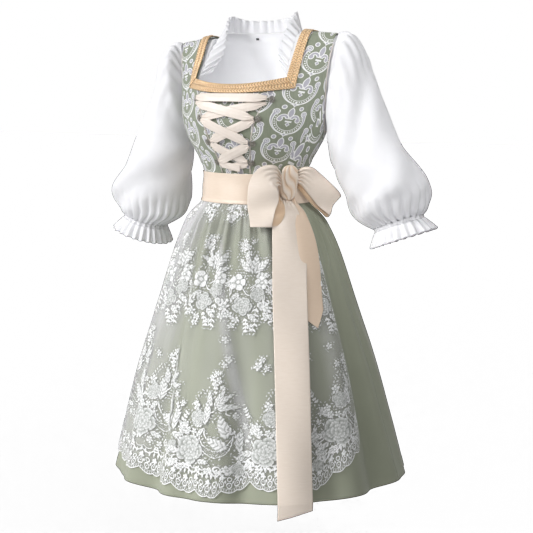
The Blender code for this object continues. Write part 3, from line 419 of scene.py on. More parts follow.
edge = blouse_edge(np.linspace(0.0, ARMHOLE_BOTTOM, 49)[::-1], -SIDE_GAP)
rows = edge[:, 1]
height = smooth(TORSO["height"], rows)
neck_half = np.interp(height, BLOUSE_NECK["height"], BLOUSE_NECK["half"])
inner = np.arcsin(neck_half / smooth(TORSO["half_width"], rows))
strap = mix(inner[:, None], edge[:, :1], np.linspace(0.0, 1.0, STRAP_COLUMNS))
middle = inner[:, None] * np.linspace(-1.0, 1.0, 31)[1:-1]
angle = np.concatenate([-strap[:, ::-1], middle, strap], axis=1)
chart = np.stack([angle, np.broadcast_to(rows[:, None], angle.shape)], axis=-1)
keep = np.ones((len(rows) - 1, angle.shape[1] - 1), dtype=bool)
keep[height[:-1] > BLOUSE_NECK_LEVEL, STRAP_COLUMNS - 1:1 - STRAP_COLUMNS] = False
points = on_blouse(chart)
blouse_front = panel(
    "blouse_front_cloth", points, cotton, ["blouse_front"], BLOUSE_COTTON, keep=keep
)

# The seam where the collar frill joins the blouse, and the frill's free edge, from the middle
# of the back round the side of the neck to the neckline's corner.
COLLAR = table(
    "seam_x seam_y seam_z free_x free_y free_z",
    (0.000, 0.072, 0.000, 0.0000, 0.0700, 0.0300),
    (0.060, 0.064, 0.003, 0.0550, 0.0610, 0.0340),
    (0.095, 0.043, 0.006, 0.0860, 0.0370, 0.0440),
    (0.105, 0.010, 0.004, 0.0800, 0.0100, 0.0180),
    (0.108, -0.025, -0.035, 0.0735, -0.0080, -0.0160),
    (0.110, -0.050, -0.075, 0.0736, -0.0280, -0.0500),
    (0.114, -0.066, -0.098, 0.0900, -0.0420, -0.0850),
)
COLLAR_SIDE = 3             # from this row of the table on, the seam lies on the front
YOKE_FROM = 10.0            # place along the armhole where the back starts to rise to the collar
SHOULDER_SHARE = 0.4        # share of the back's top edge that is shoulder, the rest is neck


def collar_edge(column, at, side):
    """The collar's seam or free edge: a curve through the table, leaning with the shoulders."""
    points = np.stack([COLLAR[f"{column}_{axis}"] for axis in "xyz"], axis=-1)
    if column == "seam":
        over = chart_at(points[COLLAR_SIDE:, 0], np.minimum(points[COLLAR_SIDE:, 2], 0.0))
        left, right = (on_torso(over * (turn, 1.0), BLOUSE_LIFT) for turn in (1.0, -1.0))
        points[COLLAR_SIDE:, 1:] = (left + right)[:, 1:] / 2
    points = smooth(points, at)
    points[:, 0] *= side
    points[:, 2] += LEAN * points[:, 0] * leaning(points[:, 2])
    return points


at = np.linspace(ARMHOLE_BOTTOM, ARMHOLE_END, 49)
edge = blouse_edge(at, SIDE_GAP)
base_row = HEM_ROWS + int(np.argmin(np.abs(at - YOKE_FROM)))
share = np.linspace(0.0, 1.0, 31)
angle = mix(edge[:, :1], math.pi, share)
chart = np.stack([angle, np.broadcast_to(edge[:, 1:], angle.shape)], axis=-1)
body = on_blouse(chart)
neck_angle = chart_at(COLLAR["seam_x"][COLLAR_SIDE], 0.0, back=True)[0]
crest_angle = mix(edge[-1, 0], neck_angle, np.minimum(share / SHOULDER_SHARE, 1.0))
on_crest = on_blouse(np.stack([crest_angle, 0 * share + BLOUSE_CREST], axis=-1))
collar_at = COLLAR_SIDE * np.clip((1.0 - share) / (1.0 - SHOULDER_SHARE), 0.0, 1.0)
top = np.where((share <= SHOULDER_SHARE)[:, None], on_crest, collar_edge("seam", collar_at, 1.0))
full = 1.0 - 0.75 * ease((share - 0.3) / 0.4)[:, None]
part = (edge[:, 1] - edge[base_row, 1]) / (edge[-1, 1] - edge[base_row, 1])
part = np.clip(part, 0.0, 1.0)[:, None, None]
ruled = mix(body[base_row], top, part) + full * (body - mix(body[base_row], body[-1], part))
half = np.where(np.arange(len(edge))[:, None, None] > base_row, ruled, body)
other = half[:, ::-1] * np.array([-1.0, 1.0, 1.0])
other[..., 2] += 2 * LEAN * other[..., 0] * leaning(other[..., 2])
points = np.concatenate([half, other[:, 1:]], axis=1)
blouse_back = panel(
    "blouse_back_cloth", points, cotton, ["blouse_back"], BLOUSE_COTTON
)

# ------------------------------------------------------------------------------------------
# Collar frill: a straight strip of the same cotton, gathered along its lower edge, turned up
# round the neck and down both sides of the opening, with a narrow rolled hem.
# ------------------------------------------------------------------------------------------
COLLAR_WAVES = 30
COLLAR_COTTON = 0.0008
last = len(COLLAR["seam_x"]) - 1
at = np.linspace(-last, last, COLLAR_WAVES * 14 + 1)
side = np.where(at < 0, -1.0, 1.0)
seam = collar_edge("seam", np.abs(at), side)
free = collar_edge("free", np.abs(at), side)
direction = free - seam
direction /= np.linalg.norm(direction, axis=-1, keepdims=True)
outward = np.cross(np.gradient(seam, axis=0), direction)
outward /= np.linalg.norm(outward, axis=-1, keepdims=True)
rise = np.linspace(0.0, 1.0, 15)[:, None]
beat = np.linspace(0.0, COLLAR_WAVES * 2 * math.pi, len(at))[None, :]
beat = beat + 0.9 * np.sin(beat / 7.3) + 0.6 * np.sin(beat / 3.1 + 1.0)
wave = (0.0015 + 0.0019 * rise) * np.sin(beat + 0.5 * rise) + 0.0006 * rise * np.sin(2.3 * beat)
points = mix(seam + 0.0009 * direction, free, rise[..., None])
points = points + wave[..., None] * outward + (0.0005 * rise * np.cos(beat))[..., None] * direction
points = pushed(points, 0.0006 * np.exp(-((rise - 0.95) / 0.03) ** 2) + 0 * beat)
collar = panel(
    "collar_frill_cloth", points[:, ::-1], cotton, ["collar_frill"], COLLAR_COTTON
)

# ------------------------------------------------------------------------------------------
# Size tab: a tiny blank woven label sewn inside the back of the neck.
# ------------------------------------------------------------------------------------------
tab_finish = Finish("size_tab_weave", Roughness=0.8)
threads = weave(tab_finish, 1400.0)
tab_finish.give(Base_Color=tab_finish.blend(threads, (0.045, 0.045, 0.05, 1), (0.09, 0.09, 0.10, 1)))
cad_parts["size_tab"].data.materials.clear()
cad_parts["size_tab"].data.materials.append(tab_finish.material)

# ------------------------------------------------------------------------------------------
# Sleeves: full puffed sleeves of the same cotton, gathered into the armhole and into an
# elastic band at the cuff, with soft slanting folds where the cloth hangs from the arm.
# ------------------------------------------------------------------------------------------
SLEEVE = table(
    "outer_x outer_z inner_x inner_z middle_y half_depth",
    (0.2310, -0.0120, 0.1850, -0.2200, 0.014, 0.0580),
    (0.2620, -0.0480, 0.1885, -0.2340, 0.013, 0.0640),
    (0.2790, -0.0980, 0.1895, -0.2490, 0.013, 0.0670),
    (0.3000, -0.1520, 0.1905, -0.2680, 0.014, 0.0690),
    (0.3250, -0.2110, 0.1930, -0.2910, 0.016, 0.0720),
    (0.3550, -0.2650, 0.1990, -0.3170, 0.022, 0.0770),
    (0.3865, -0.3090, 0.2080, -0.3430, 0.030, 0.0820),
    (0.4095, -0.3440, 0.2165, -0.3720, 0.036, 0.0840),
    (0.4140, -0.3700, 0.2250, -0.3970, 0.041, 0.0810),
    (0.4060, -0.4000, 0.2420, -0.4280, 0.045, 0.0720),
    (0.3920, -0.4165, 0.2850, -0.4505, 0.048, 0.0545),
)
SLEEVE_LEAN = 0.040
SLEEVE_SLIM = 0.008         # the right sleeve stands out less by this much
SLEEVE_INSIDE = 0.0006      # its edge lies this far inside the blouse's
SLEEVE_OVER = 0.0015        # and its next ring this far over the bodice
SLEEVE_COTTON = 0.0009
FRILL_COTTON = 0.0008
CUFF_GAP = 0.0004
CUFF_BAND = 0.008
CUFF_FRILL = 0.040
FRILL_SPREAD = 0.019
SLEEVE_COLUMNS = 144
GATHERS = 24


def sleeve_rings(side):
    """Sections of a sleeve, from inside the armhole to the wrist: slanting ellipses."""
    share = np.arange(SLEEVE_COLUMNS) / SLEEVE_COLUMNS
    angle = 2 * math.pi * share
    chart = armhole(ARMHOLE_END * share, -SEAM_ALLOWANCE - SLEEVE_INSIDE) * (side, 1.0)
    crest = armhole(np.array([0.0, ARMHOLE_END]), -SEAM_ALLOWANCE) * (side, 1.0)
    first = on_blouse(chart)
    near = np.minimum(share, 1.0 - share)[:, None]
    crest = on_blouse(crest).mean(axis=0) + (side * SLEEVE_INSIDE, 0.0, 0.0)
    rings = [mix(crest, first, ease(near / 0.05)), on_torso(chart, SLEEVE_OVER)]
    slim = SLEEVE_SLIM if side < 0 else 0.0
    for row in range(len(SLEEVE["outer_x"])):
        size = {name: SLEEVE[name][row] for name in SLEEVE}
        lean = side * SLEEVE_LEAN
        inner_lean = lean * min(1.0, (row + 1) / 4)
        outer = np.array([size["outer_x"] - slim, 0.0, size["outer_z"] + lean * size["outer_x"]])
        inner = np.array([size["inner_x"], 0.0, size["inner_z"] + inner_lean * size["inner_x"]])
        middle = (outer + inner) / 2 + np.array([0.0, size["middle_y"], 0.0])
        ring = middle + (outer - inner) / 2 * np.cos(angle)[:, None]
        ring[:, 1] -= size["half_depth"] * np.sin(angle)
        ring[:, 0] *= side
        rings.append(ring)
    return np.array(rings)


def cotton_ring(name, points, side, node, thick):
    """A ring of white cotton; on the wearer's right its columns are taken in turned order."""
    if side < 0:
        points = points[:, ::-1]
    return panel(name, points, cotton, [node], thick, ring=True)


for name, side in (("l", 1.0), ("r", -1.0)):
    rings = sleeve_rings(side)
    count = len(rings) - 1
    at = np.concatenate([np.linspace(0.0, 2.0, 13)[:-1], np.linspace(2.0, count, 98)])
    points = smooth(rings, at)
    down = (at / count)[:, None]
    round_it = (2 * math.pi * np.arange(SLEEVE_COLUMNS) / SLEEVE_COLUMNS)[None, :]
    head = ease((0.42 - down) / 0.28) * ease((down - 0.05) / 0.10)
    wrist_pull = ease((down - 0.70) / 0.28)
    beat = GATHERS * round_it + 0.8 * np.sin(3 * round_it + side) + 2.0 * down
    folds = 0.0022 * head * np.sin(0.75 * beat + 1.3 * np.sin(2 * round_it)) * ease(np.cos(round_it) + 0.7)
    folds = folds + 0.0030 * wrist_pull * np.sin(beat)
    folds = folds + 0.0016 * wrist_pull * np.sin(2 * beat + 1.0)
    slant = round_it * 2 - 9.0 * down * side
    hang = ease((down - 0.15) / 0.3) * ease((0.98 - down) / 0.12)
    folds = folds + hang * ripple(
        (0.0034, slant),
        (0.0026, 2.0 * slant + 4.0 * down + 1.1),
        (0.0016, 3.0 * slant - 8.0 * down + 2.0),
        (0.0010, 5.0 * round_it + 21.0 * down),
    )
    points = pushed(points, folds * side, ring=True)
    sleeve = cotton_ring(f"sleeve_{name}_cloth", points, side, f"blouse_sleeve_{name}", SLEEVE_COTTON)
    "bodice_front_" + name

    # Cuff: the gathered band over its elastic, and the frill that the band leaves free below.
    wrist = rings[-1]
    centre = wrist.mean(axis=0)
    axis = np.cross(wrist[0] - centre, wrist[SLEEVE_COLUMNS // 4] - centre)
    axis /= np.linalg.norm(axis) * side
    out = wrist - centre
    out /= np.linalg.norm(out, axis=-1, keepdims=True)
    beat = GATHERS * round_it + 0.8 * np.sin(3 * round_it + side) + 2.0
    fall = np.linspace(0.0, 1.0, 9)[:, None]
    pinch = 0.0015 * (np.cos(2 * math.pi * 3 * fall) - 1.0) * 0.3
    push = 0.0022 * np.sin(beat) + pinch
    points = wrist + axis * (CUFF_GAP + (CUFF_BAND - CUFF_GAP) * fall)[..., None] + out * push[..., None]
    band = cotton_ring(f"cuff_band_{name}_cloth", points, side, f"cuff_band_{name}", SLEEVE_COTTON)
    fall = np.linspace(0.0, 1.0, 19)[:, None]
    length = CUFF_FRILL - CUFF_BAND
    flare = FRILL_SPREAD * fall**0.8
    swing = mix(0.0022, 0.0048, ease(fall)) * np.sin(beat - 0.6 * fall)
    swing = swing + 0.0018 * fall * np.sin(0.5 * beat + 2.0)
    points = wrist + axis * (CUFF_BAND + 0.0006 + (length + 0.0015 * np.cos(beat) * fall) * fall)[..., None]
    points = points + out * (flare + swing)[..., None]
    points = pushed(points, side * 0.0007 * np.exp(-((fall - 0.92) / 0.04) ** 2) + 0 * beat, ring=True)
    frill = cotton_ring(f"cuff_frill_{name}_cloth", points, side, f"cuff_frill_{name}", FRILL_COTTON)

# ------------------------------------------------------------------------------------------
# Bodice: sage jacquard brocade over a lining, in a centre panel, two fronts, two sides and two
# backs, joined by long seams. The figure is woven in white and lavender: a lily in an open
# ring with a row of pearls, in half drop.
# ------------------------------------------------------------------------------------------
FRONT_EDGE = table(
    "height half",
    (-0.345, 0.0330),
    (-0.289, 0.0410),
    (-0.244, 0.0530),
    (-0.190, 0.0700),
    (-0.147, 0.0885),
    (-0.118, 0.1040),
    (-0.101, 0.1166),
    (-0.050, 0.1180),
    (0.0000, 0.1207),
)
SEAM = 0.0003
SEAM_ROW = 6                # the long seams end at the armhole, at this row
FRONT_SEAM = np.radians((40.0, 78.5))
BACK_SEAM = np.radians((135.0, 112.0))
BACK_NECK_ROW = 8.5
NECK_HALF = 0.1207
NECK_MIDDLE = -0.115
NECK_CORNER = -0.101
CORNER_HALF = 0.1166
SIDE_DRAWN_IN = 0.004       # share by which a side panel stays clear of its seams
CENTRE_LIFT = -0.0024
CENTRE_TOP_ROW = 6.8
CENTRE_TUCK = 0.006         # the centre panel runs on under the fronts
BROCADE_THICK = 0.0012
PRESSED = 0.0004            # how far a seam is pressed in
STRAIN = 0.00045            # height of the small wrinkles between the seams
FIGURE_WIDE = 84.0          # repeat of the woven figure, in millimetres
FIGURE_TALL = 76.0
PEARL_RING = 29.2
PEARL_STEP = 5.6


class Figure:
    """Signed distances in millimetres inside one repeat, measured from the ring's middle.

    Across is the distance from the figure's axis, which makes the figure symmetrical.
    """

    def __init__(self, finish):
        across, along = finish.laid_flat()
        u = across * (1000.0 / FIGURE_WIDE)
        v = along * (1000.0 / FIGURE_TALL)
        column = u.math("FLOOR", u)
        v = v + column * 0.5
        self.across = u.math("ABSOLUTE", u - column - 0.5) * FIGURE_WIDE
        self.up = (v - v.math("FLOOR", v) - 0.5) * FIGURE_TALL

    def reach(self, x, y):
        """Distance to a point."""
        aside = self.across - x
        above = self.up - y
        return aside.math("SQRT", aside * aside + above * above)

    def away(self, level):
        """Height above or below a level."""
        return self.up.math("ABSOLUTE", self.up - level)

    def either(self, first, *others):
        """Inside any of the shapes."""
        for other in others:
            first = first.math("MINIMUM", first, other)
        return first

    def both(self, first, *others):
        """Inside all of the shapes."""
        for other in others:
            first = first.math("MAXIMUM", first, other)
        return first

    def band(self, distance, width):
        """Distance to a line of a given width."""
        return distance.math("ABSOLUTE", distance) - width / 2


def lily(figure):
    """Three petals, the side ones curled outwards to a knob, over a small pointed foot."""
    petal = figure.reach(-9.2, 16.5) - 16.8
    curl = figure.both(figure.band(figure.reach(12.8, 0.5) - 8.2, 8.2), 0.5 - figure.up)
    knob = figure.reach(20.0, -0.5) - 6.4
    foot = figure.across + figure.away(-12.5) - 5.6
    return figure.either(petal, curl, knob, foot)


def scrolls(figure):
    """A crescent round the lily, open at the top, with a lobe and a small ball at each end."""
    crescent = figure.both(
        figure.reach(0.0, 2.0) - 39.5, 32.5 - figure.reach(0.0, -2.5), figure.up - 15.0
    )
    return figure.either(crescent, figure.reach(31.0, 17.0) - 7.6, figure.reach(19.5, 30.0) - 5.6)


def star(figure):
    """A four-pointed star with hollow sides, between one figure and the next above it."""
    wide = figure.across * (1.0 / 14.0)
    tall = (38.0 - figure.away(0.0)) * (1.0 / 9.5)
    inward = tall.math("SQRT", tall.math("MAXIMUM", tall, 0.0))
    return (wide.math("SQRT", wide) + inward - 1.0) * 6.0


def fine_lines(figure):
    """A ring inside the crescent, a row of pearls on it, eyes in the lobes, a bar on the lily."""
    centre = figure.reach(0.0, -2.5)
    ring = figure.both(figure.band(centre - 25.4, 1.5), figure.up + 7.0)
    eye = figure.band(figure.reach(31.0, 17.0) - 3.0, 1.4)
    bar = figure.both(figure.across - 7.5, figure.away(-5.5) - 2.0)
    around = centre.math("ARCTAN2", figure.up + 2.5, figure.across) * (PEARL_RING / PEARL_STEP)
    aside = (around - around.math("ROUND", around)) * PEARL_STEP
    off = centre - PEARL_RING
    pearl = figure.both(aside.math("SQRT", aside * aside + off * off) - 1.6, figure.up - 9.0)
    return figure.either(ring, eye, bar, pearl)


brocade = Finish("sage_brocade", Roughness=0.55, Sheen_Weight=0.25, Sheen_Roughness=0.4)
figure = Figure(brocade)
filled = figure.either(lily(figure), scrolls(figure), star(figure))
inside = brocade.step(filled, -1.7, -2.3)
outline = brocade.step(filled, 0.4, -0.2) - inside
line_thread = brocade.step(fine_lines(figure), 0.35, -0.35)
white_thread = outline.math("MAXIMUM", outline, line_thread)
slub = brocade.noise(240.0, 3.0, (1.0, 1.0, 0.25))
ground = brocade.blend(slub, (0.205, 0.232, 0.168, 1), (0.305, 0.335, 0.250, 1))
lilac = brocade.blend(slub, (0.38, 0.37, 0.43, 1), (0.54, 0.53, 0.60, 1))
colour = brocade.blend(inside, ground, lilac)
brocade.give(Base_Color=brocade.blend(white_thread, colour, (0.90, 0.90, 0.90, 1)))
relief = white_thread * 0.8 + inside * 0.55 + slub * 0.35 + weave(brocade, 1100.0) * 0.10
brocade.bump(relief, 0.0006, 0.9)


def cut_cloth(points, angle, grain, lean, start=(0.0, 0.0)):
    """Flat place of each point of a panel, from its grain line, turned by the lean of its grain."""
    width = np.linalg.norm(np.diff(points, axis=1), axis=-1).sum(axis=1, keepdims=True)
    across = (angle - grain) * width / (angle[:, -1:] - angle[:, :1])
    middle = points[:, points.shape[1] // 2]
    up = np.concatenate([[0.0], np.cumsum(np.linalg.norm(np.diff(middle, axis=0), axis=-1))])
    up = np.broadcast_to(up[:, None], across.shape)
    turned = (across * math.cos(lean) - up * math.sin(lean), across * math.sin(lean) + up * math.cos(lean))
    return np.stack(turned, axis=-1) + start


def bodice_panel(name, chart, grain, lean, start, lift=0.0):
    """A panel over the body: pressed in at its two seams, with small strained wrinkles."""
    angle, row = chart[..., 0], chart[..., 1]
    across = np.linspace(0.0, 1.0, chart.shape[1])[None, :]
    seam = np.exp(-((np.minimum(across, 1.0 - across) / 0.035) ** 2))
    strain = np.sin(5.0 * row + 3.0 * angle) * np.sin(2.2 * row - 5.0 * angle + 1.0)
    strain = strain + 0.7 * np.sin(11.0 * row + 4.0 * angle) * ease((3.2 - row) / 3.0)
    strain = STRAIN * strain * ease((7.0 - row) / 2.0) * (1.0 - seam)
    points = on_torso(chart, lift - PRESSED * seam + strain)
    uv = cut_cloth(points, angle, grain, lean, start)
    node = name.removesuffix("_cloth")
    return panel(name, points, brocade, [node], BROCADE_THICK, uv=uv)


def patch(left, right, columns):
    """(angle, row) grid between two edges, drawn in by the seam clearance on both sides."""
    share = np.linspace(0.0, 1.0, columns)[None, :, None]
    chart = mix(left[:, None, :], right[:, None, :], share)
    width = np.linalg.norm(on_torso(chart[:, -1]) - on_torso(chart[:, 0]), axis=-1)
    inset = (SEAM / width)[:, None, None]
    return mix(left[:, None, :], right[:, None, :], inset + share * (1.0 - 2.0 * inset))


def mirrored(chart):
    """The same patch on the wearer's right, its columns still to the right."""
    return chart[:, ::-1] * (-1.0, 1.0)


def both_sides(chart):
    """The name, the grid and the turn of a patch on the wearer's left, then on the right."""
    return ("l", chart, 1.0), ("r", mirrored(chart), -1.0)


def long_seam(seam, rows):
    """Angle of a long seam, straight on the chart from the waist to the armhole."""
    return mix(seam[0], seam[1], rows / SEAM_ROW)


def front_edge(rows, inward=0.0):
    """The open edge of a front; inward moves it towards the side, in metres."""
    half = np.interp(smooth(TORSO["height"], rows), FRONT_EDGE["height"], FRONT_EDGE["half"]) + inward
    return np.stack([np.arcsin(half / smooth(TORSO["half_width"], rows)), rows], axis=-1)


def upper_armhole(rows, back, grow=0.0):
    """Angle of the armhole's front or back edge at given rows above the long seams."""
    at = np.linspace(9, ARMHOLE_END, 120) if back else np.linspace(3, 0, 120)
    edge = armhole(at, grow)
    order = np.argsort(edge[:, 1])
    return np.interp(rows, edge[order, 1], edge[order, 0])


def neckline(x):
    """Height of the front neckline, a shallow curve between its corners."""
    return mix(NECK_MIDDLE, NECK_CORNER, (x / CORNER_HALF) ** 2)


rows = np.linspace(0.0, CENTRE_TOP_ROW, 84)
heights = smooth(TORSO["height"], rows)
half = np.interp(heights, FRONT_EDGE["height"], FRONT_EDGE["half"]) + CENTRE_TUCK
half = np.minimum(half, CORNER_HALF - 0.001)
x = half[:, None] * np.linspace(-1.0, 1.0, 72)[None, :]
sag = (rows[:, None] / CENTRE_TOP_ROW) ** 12 * (neckline(x) - neckline(half[:, None]) - 0.0005)
chart = chart_at(x, np.minimum(heights[:, None] + sag, NECK_CORNER - 0.002))
bodice_centre = bodice_panel("bodice_centre_cloth", chart, 0.0, 0.0, (0.0300, 0.0200), CENTRE_LIFT)

rows = np.linspace(0.0, CREST_SEAM, 150)
outer = np.where(rows <= SEAM_ROW, long_seam(FRONT_SEAM, rows), upper_armhole(rows, False))
chart = patch(front_edge(rows), np.stack([outer, rows], axis=-1), 52)
grain, lean = math.radians(32.0), 0.16
for name, cells, turn in both_sides(chart):
    start = (0.0330 * turn, 0.0120)
    front = bodice_panel(f"bodice_front_{name}_cloth", cells, grain * turn, lean * turn, start)

top = armhole(np.linspace(3, 9, 66))
top[0] = (FRONT_SEAM[1], SEAM_ROW)
top[-1] = (BACK_SEAM[1], SEAM_ROW)
bottom = np.stack([np.linspace(FRONT_SEAM[0], BACK_SEAM[0], 66), np.zeros(66)], axis=-1)
chart = mix(bottom[None], top[None], np.linspace(0.0, 1.0, 72)[:, None, None])
chart = mix(chart, chart.mean(axis=1, keepdims=True), SIDE_DRAWN_IN)
grain = 1.55
for name, cells, turn in both_sides(chart):
    side_panel = bodice_panel(f"bodice_side_{name}_cloth", cells, grain * turn, 0.0, (0.0100, 0.0300))

outer = np.where(rows <= SEAM_ROW, long_seam(BACK_SEAM, rows), upper_armhole(rows, True))
depth = smooth(TORSO["height"], BACK_NECK_ROW)
half = NECK_HALF * np.sqrt(np.clip(1.0 - (smooth(TORSO["height"], rows) / depth) ** 2, 0.0, 1.0))
half = np.where(rows < BACK_NECK_ROW, 0.0, half)
inner = math.pi - np.arcsin(half / smooth(TORSO["half_width"], rows))
chart = patch(np.stack([outer, rows], axis=-1), np.stack([inner, rows], axis=-1), 60)
grain = math.pi - 0.02
for name, cells, turn in both_sides(chart):
    back = bodice_panel(f"bodice_back_{name}_cloth", cells, grain * turn, 0.0, (0.0380, 0.0120))

# ------------------------------------------------------------------------------------------
# Piping: a cord covered in cream cotton, set into the edges of the fronts and the armholes.
# ------------------------------------------------------------------------------------------
piping = Finish("cream_piping_cloth", Roughness=0.6, Sheen_Weight=0.2)
grain = piping.noise(900.0, 2.0)
piping.give(Base_Color=piping.blend(grain, (0.66, 0.60, 0.55, 1), (0.82, 0.76, 0.70, 1)))
piping.bump(grain, 0.0004, 0.6)
for name in ("front_l", "front_r", "armhole_l", "armhole_r"):
    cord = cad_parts[f"piping_{name}"].data
    cord.materials.clear()
    cord.materials.append(piping.material)
    cord.shade_smooth()

# ------------------------------------------------------------------------------------------
# Braid: metallic gold yarn plaited in two rows, sewn along the whole neckline, with a mitre at
# each front corner.
# ------------------------------------------------------------------------------------------
BRAID_DROP = 0.0195
BRAID_LIFT = 0.0023
BRAID_RELIEF = 0.0014
BRAID_SUNK = 0.0004         # the stitches draw the plait down by this much
BRAID_THICK = 0.0012
STRAP_BRAID = 0.0210
CORNER_OUTER = (0.1350, -0.124)
PLAIT = 0.0068              # length of one plait along the braid

gold = Finish("gold_braid_yarn", Roughness=0.38, Metallic=0.35, Sheen_Weight=0.2)
strand = gold.field("strand")
glint = gold.noise(1500.0, 2.0)
# Base colour: dark in the gaps between the strands and in the middle groove, a painted shade, with noise
# spots of pale gold, painted glints.
deep = gold.blend(strand, (0.30, 0.125, 0.040, 1), (0.90, 0.60, 0.32, 1))
gold.give(Base_Color=gold.blend(gold.step(glint, 0.54, 0.62), deep, (1.0, 0.88, 0.62, 1)))
gold.bump(glint + strand * 0.6, 0.0005, 0.6)


def braid_strip(name, outer, inner):
    """Plaited strip between its outer and inner line, whose strands stand up from the bodice.

    In each of its two rows the strands meet in arrowheads: a strand's phase grows along the
    braid and with the distance from its row's middle, and its height is the phase's sine.
    """
    across = np.linspace(0.0, 1.0, 27)[:, None]
    chart = mix(outer[None], inner[None], across[..., None])
    middle = on_torso(mix(outer, inner, 0.5))
    along = np.concatenate([[0.0], np.cumsum(np.linalg.norm(np.diff(middle, axis=0), axis=-1))])[None, :]
    row_place = np.abs(np.where(across < 0.5, across, across - 0.5) - 0.25) * 4.0
    phase = along / PLAIT - 0.75 * row_place
    strand = np.abs(np.sin(math.pi * phase)) ** 0.9
    groove = 1.0 - 0.75 * np.exp(-((across - 0.5) / 0.035) ** 2)
    rim = ease(np.minimum(across, 1.0 - across) / 0.06)
    height = strand * groove * rim * (0.55 + 0.45 * (1.0 - row_place**2))
    points = on_torso(chart, BRAID_LIFT + BRAID_RELIEF * height - BRAID_SUNK)
    # The strand field darkens the yarn in the gaps and in the middle groove: painted shade.
    fields = {"strand": (strand * groove) ** 1.8}
    made = panel(f"{name}_plait", points, gold, [name], BRAID_THICK, fields=fields)


share = np.linspace(-0.997, 0.997, 260)
inner = chart_at(CORNER_HALF * share, neckline(CORNER_HALF * share))
outer_height = mix(NECK_MIDDLE - BRAID_DROP, CORNER_OUTER[1], share**2)
braid_strip("braid_front", chart_at(CORNER_OUTER[0] * share, outer_height), inner)
rows = np.linspace(7.0, CREST_SEAM, 190)
near = ease((7.5 - rows) / 0.5)[:, None]
inner = mix(front_edge(rows), chart_at(CORNER_HALF, NECK_CORNER + 2 * SEAM), near)
outer = mix(front_edge(rows, STRAP_BRAID), chart_at(CORNER_OUTER[0], CORNER_OUTER[1] + 2 * SEAM), near)
braid_strip("braid_side_l", outer[::-1], inner[::-1])
braid_strip("braid_side_r", outer * (-1.0, 1.0), inner * (-1.0, 1.0))
turn = np.linspace(-1.0, 1.0, 340)
turn = turn * np.arccos(np.clip(smooth(TORSO["height"], CREST_SEAM) / depth, -1.0, 1.0))
half = NECK_HALF * np.sin(-turn)
inner = chart_at(half, depth * np.cos(turn), back=True)
wider = 1.0 + STRAP_BRAID / NECK_HALF
outer = chart_at(half * wider, (depth - STRAP_BRAID) * np.cos(turn), back=True)
for line in (inner, outer):
    line[:, 1] = np.minimum(line[:, 1], CREST_SEAM)
braid_strip("braid_back", outer, inner)

# ------------------------------------------------------------------------------------------
# Lacing hooks: cast filigree rosettes in darkened metal, sewn in four pairs along the fronts.
# ------------------------------------------------------------------------------------------
HOOKS = table(
    "half height lift",
    (0.0965, -0.1475, 0.0003),
    (0.0743, -0.1900, 0.0008),
    (0.0565, -0.2440, 0.0010),
    (0.0436, -0.2890, 0.0011),
)
HOOK_RADIUS = 0.0078

dark_metal = Finish("darkened_metal", Roughness=0.42, Metallic=0.85)
tarnish = dark_metal.noise(420.0, 4.0)
dark_metal.give(Base_Color=dark_metal.blend(tarnish, (0.10, 0.095, 0.085, 1), (0.62, 0.58, 0.52, 1)))
dark_metal.bump(tarnish, 0.0004, 0.5)


def wire_loop(radius, wave, waves, level, gauge, count):
    """Round wire bent to a closed line: its distance from the middle is radius plus a wave."""
    turn = np.linspace(0.0, 2 * math.pi, count, endpoint=False)
    reach = radius + wave * np.cos(waves * turn)
    path = np.stack([reach * np.cos(turn), reach * np.sin(turn), level + 0 * turn], axis=-1)
    ahead = np.roll(path, -1, axis=0) - np.roll(path, 1, axis=0)
    side = np.stack([ahead[:, 1], -ahead[:, 0], 0 * turn], axis=-1)
    side /= np.linalg.norm(side, axis=-1, keepdims=True)
    round_it = np.linspace(0.0, 2 * math.pi, 7)[:-1]
    offset = np.cos(round_it)[None, :, None] * side[:, None, :]
    offset = offset + np.sin(round_it)[None, :, None] * np.array([0.0, 0.0, 1.0])
    return path[:, None, :] + gauge * offset


def loop_faces(shape, first):
    """Quads of a grid that closes both ways, facing outwards."""
    number = first + np.arange(shape[0] * shape[1]).reshape(shape)
    right = np.roll(number, -1, axis=0)
    corners = [number, right, np.roll(right, -1, axis=1), np.roll(number, -1, axis=1)]
    return np.stack(corners, axis=-1).reshape(-1, 4)


rosette = [
    wire_loop(HOOK_RADIUS - 0.0008, 0.00025, 12, 0.0012, 0.0008, 72),
    wire_loop(0.0046, 0.0016, 6, 0.0020, 0.0006, 96),
    wire_loop(0.0021, 0.0004, 6, 0.0025, 0.0006, 36),
    wire_loop(0.0008, 0.0, 1, 0.0024, 0.0008, 16),
]
points, faces = [], []
for half, level, lift in zip(*(HOOKS[name] for name in HOOKS)):
    for sign in (-1.0, 1.0):
        chart = chart_at(sign * half, level)
        base = on_torso(chart, lift)
        out = on_torso(chart, lift + 0.01) - base
        out /= np.linalg.norm(out)
        right = np.cross((0.0, 0.0, 1.0), out)
        right /= np.linalg.norm(right)
        turn = np.stack([right, np.cross(out, right), out])
        for wire in rosette:
            faces.append(loop_faces(wire.shape[:2], sum(len(block) for block in points)))
            points.append((base + wire @ turn).reshape(-1, 3))
mesh = bpy.data.meshes.new("lacing_hooks")
mesh.from_pydata(np.concatenate(points), [], np.concatenate(faces))
mesh.shade_smooth()
mesh.materials.append(dark_metal.material)
hooks = bpy.data.objects.new("lacing_hooks", mesh)
bpy.context.scene.collection.objects.link(hooks)
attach(hooks, "root")
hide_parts(*(f"hook_{side}{number}" for side in "lr" for number in range(1, 5)))

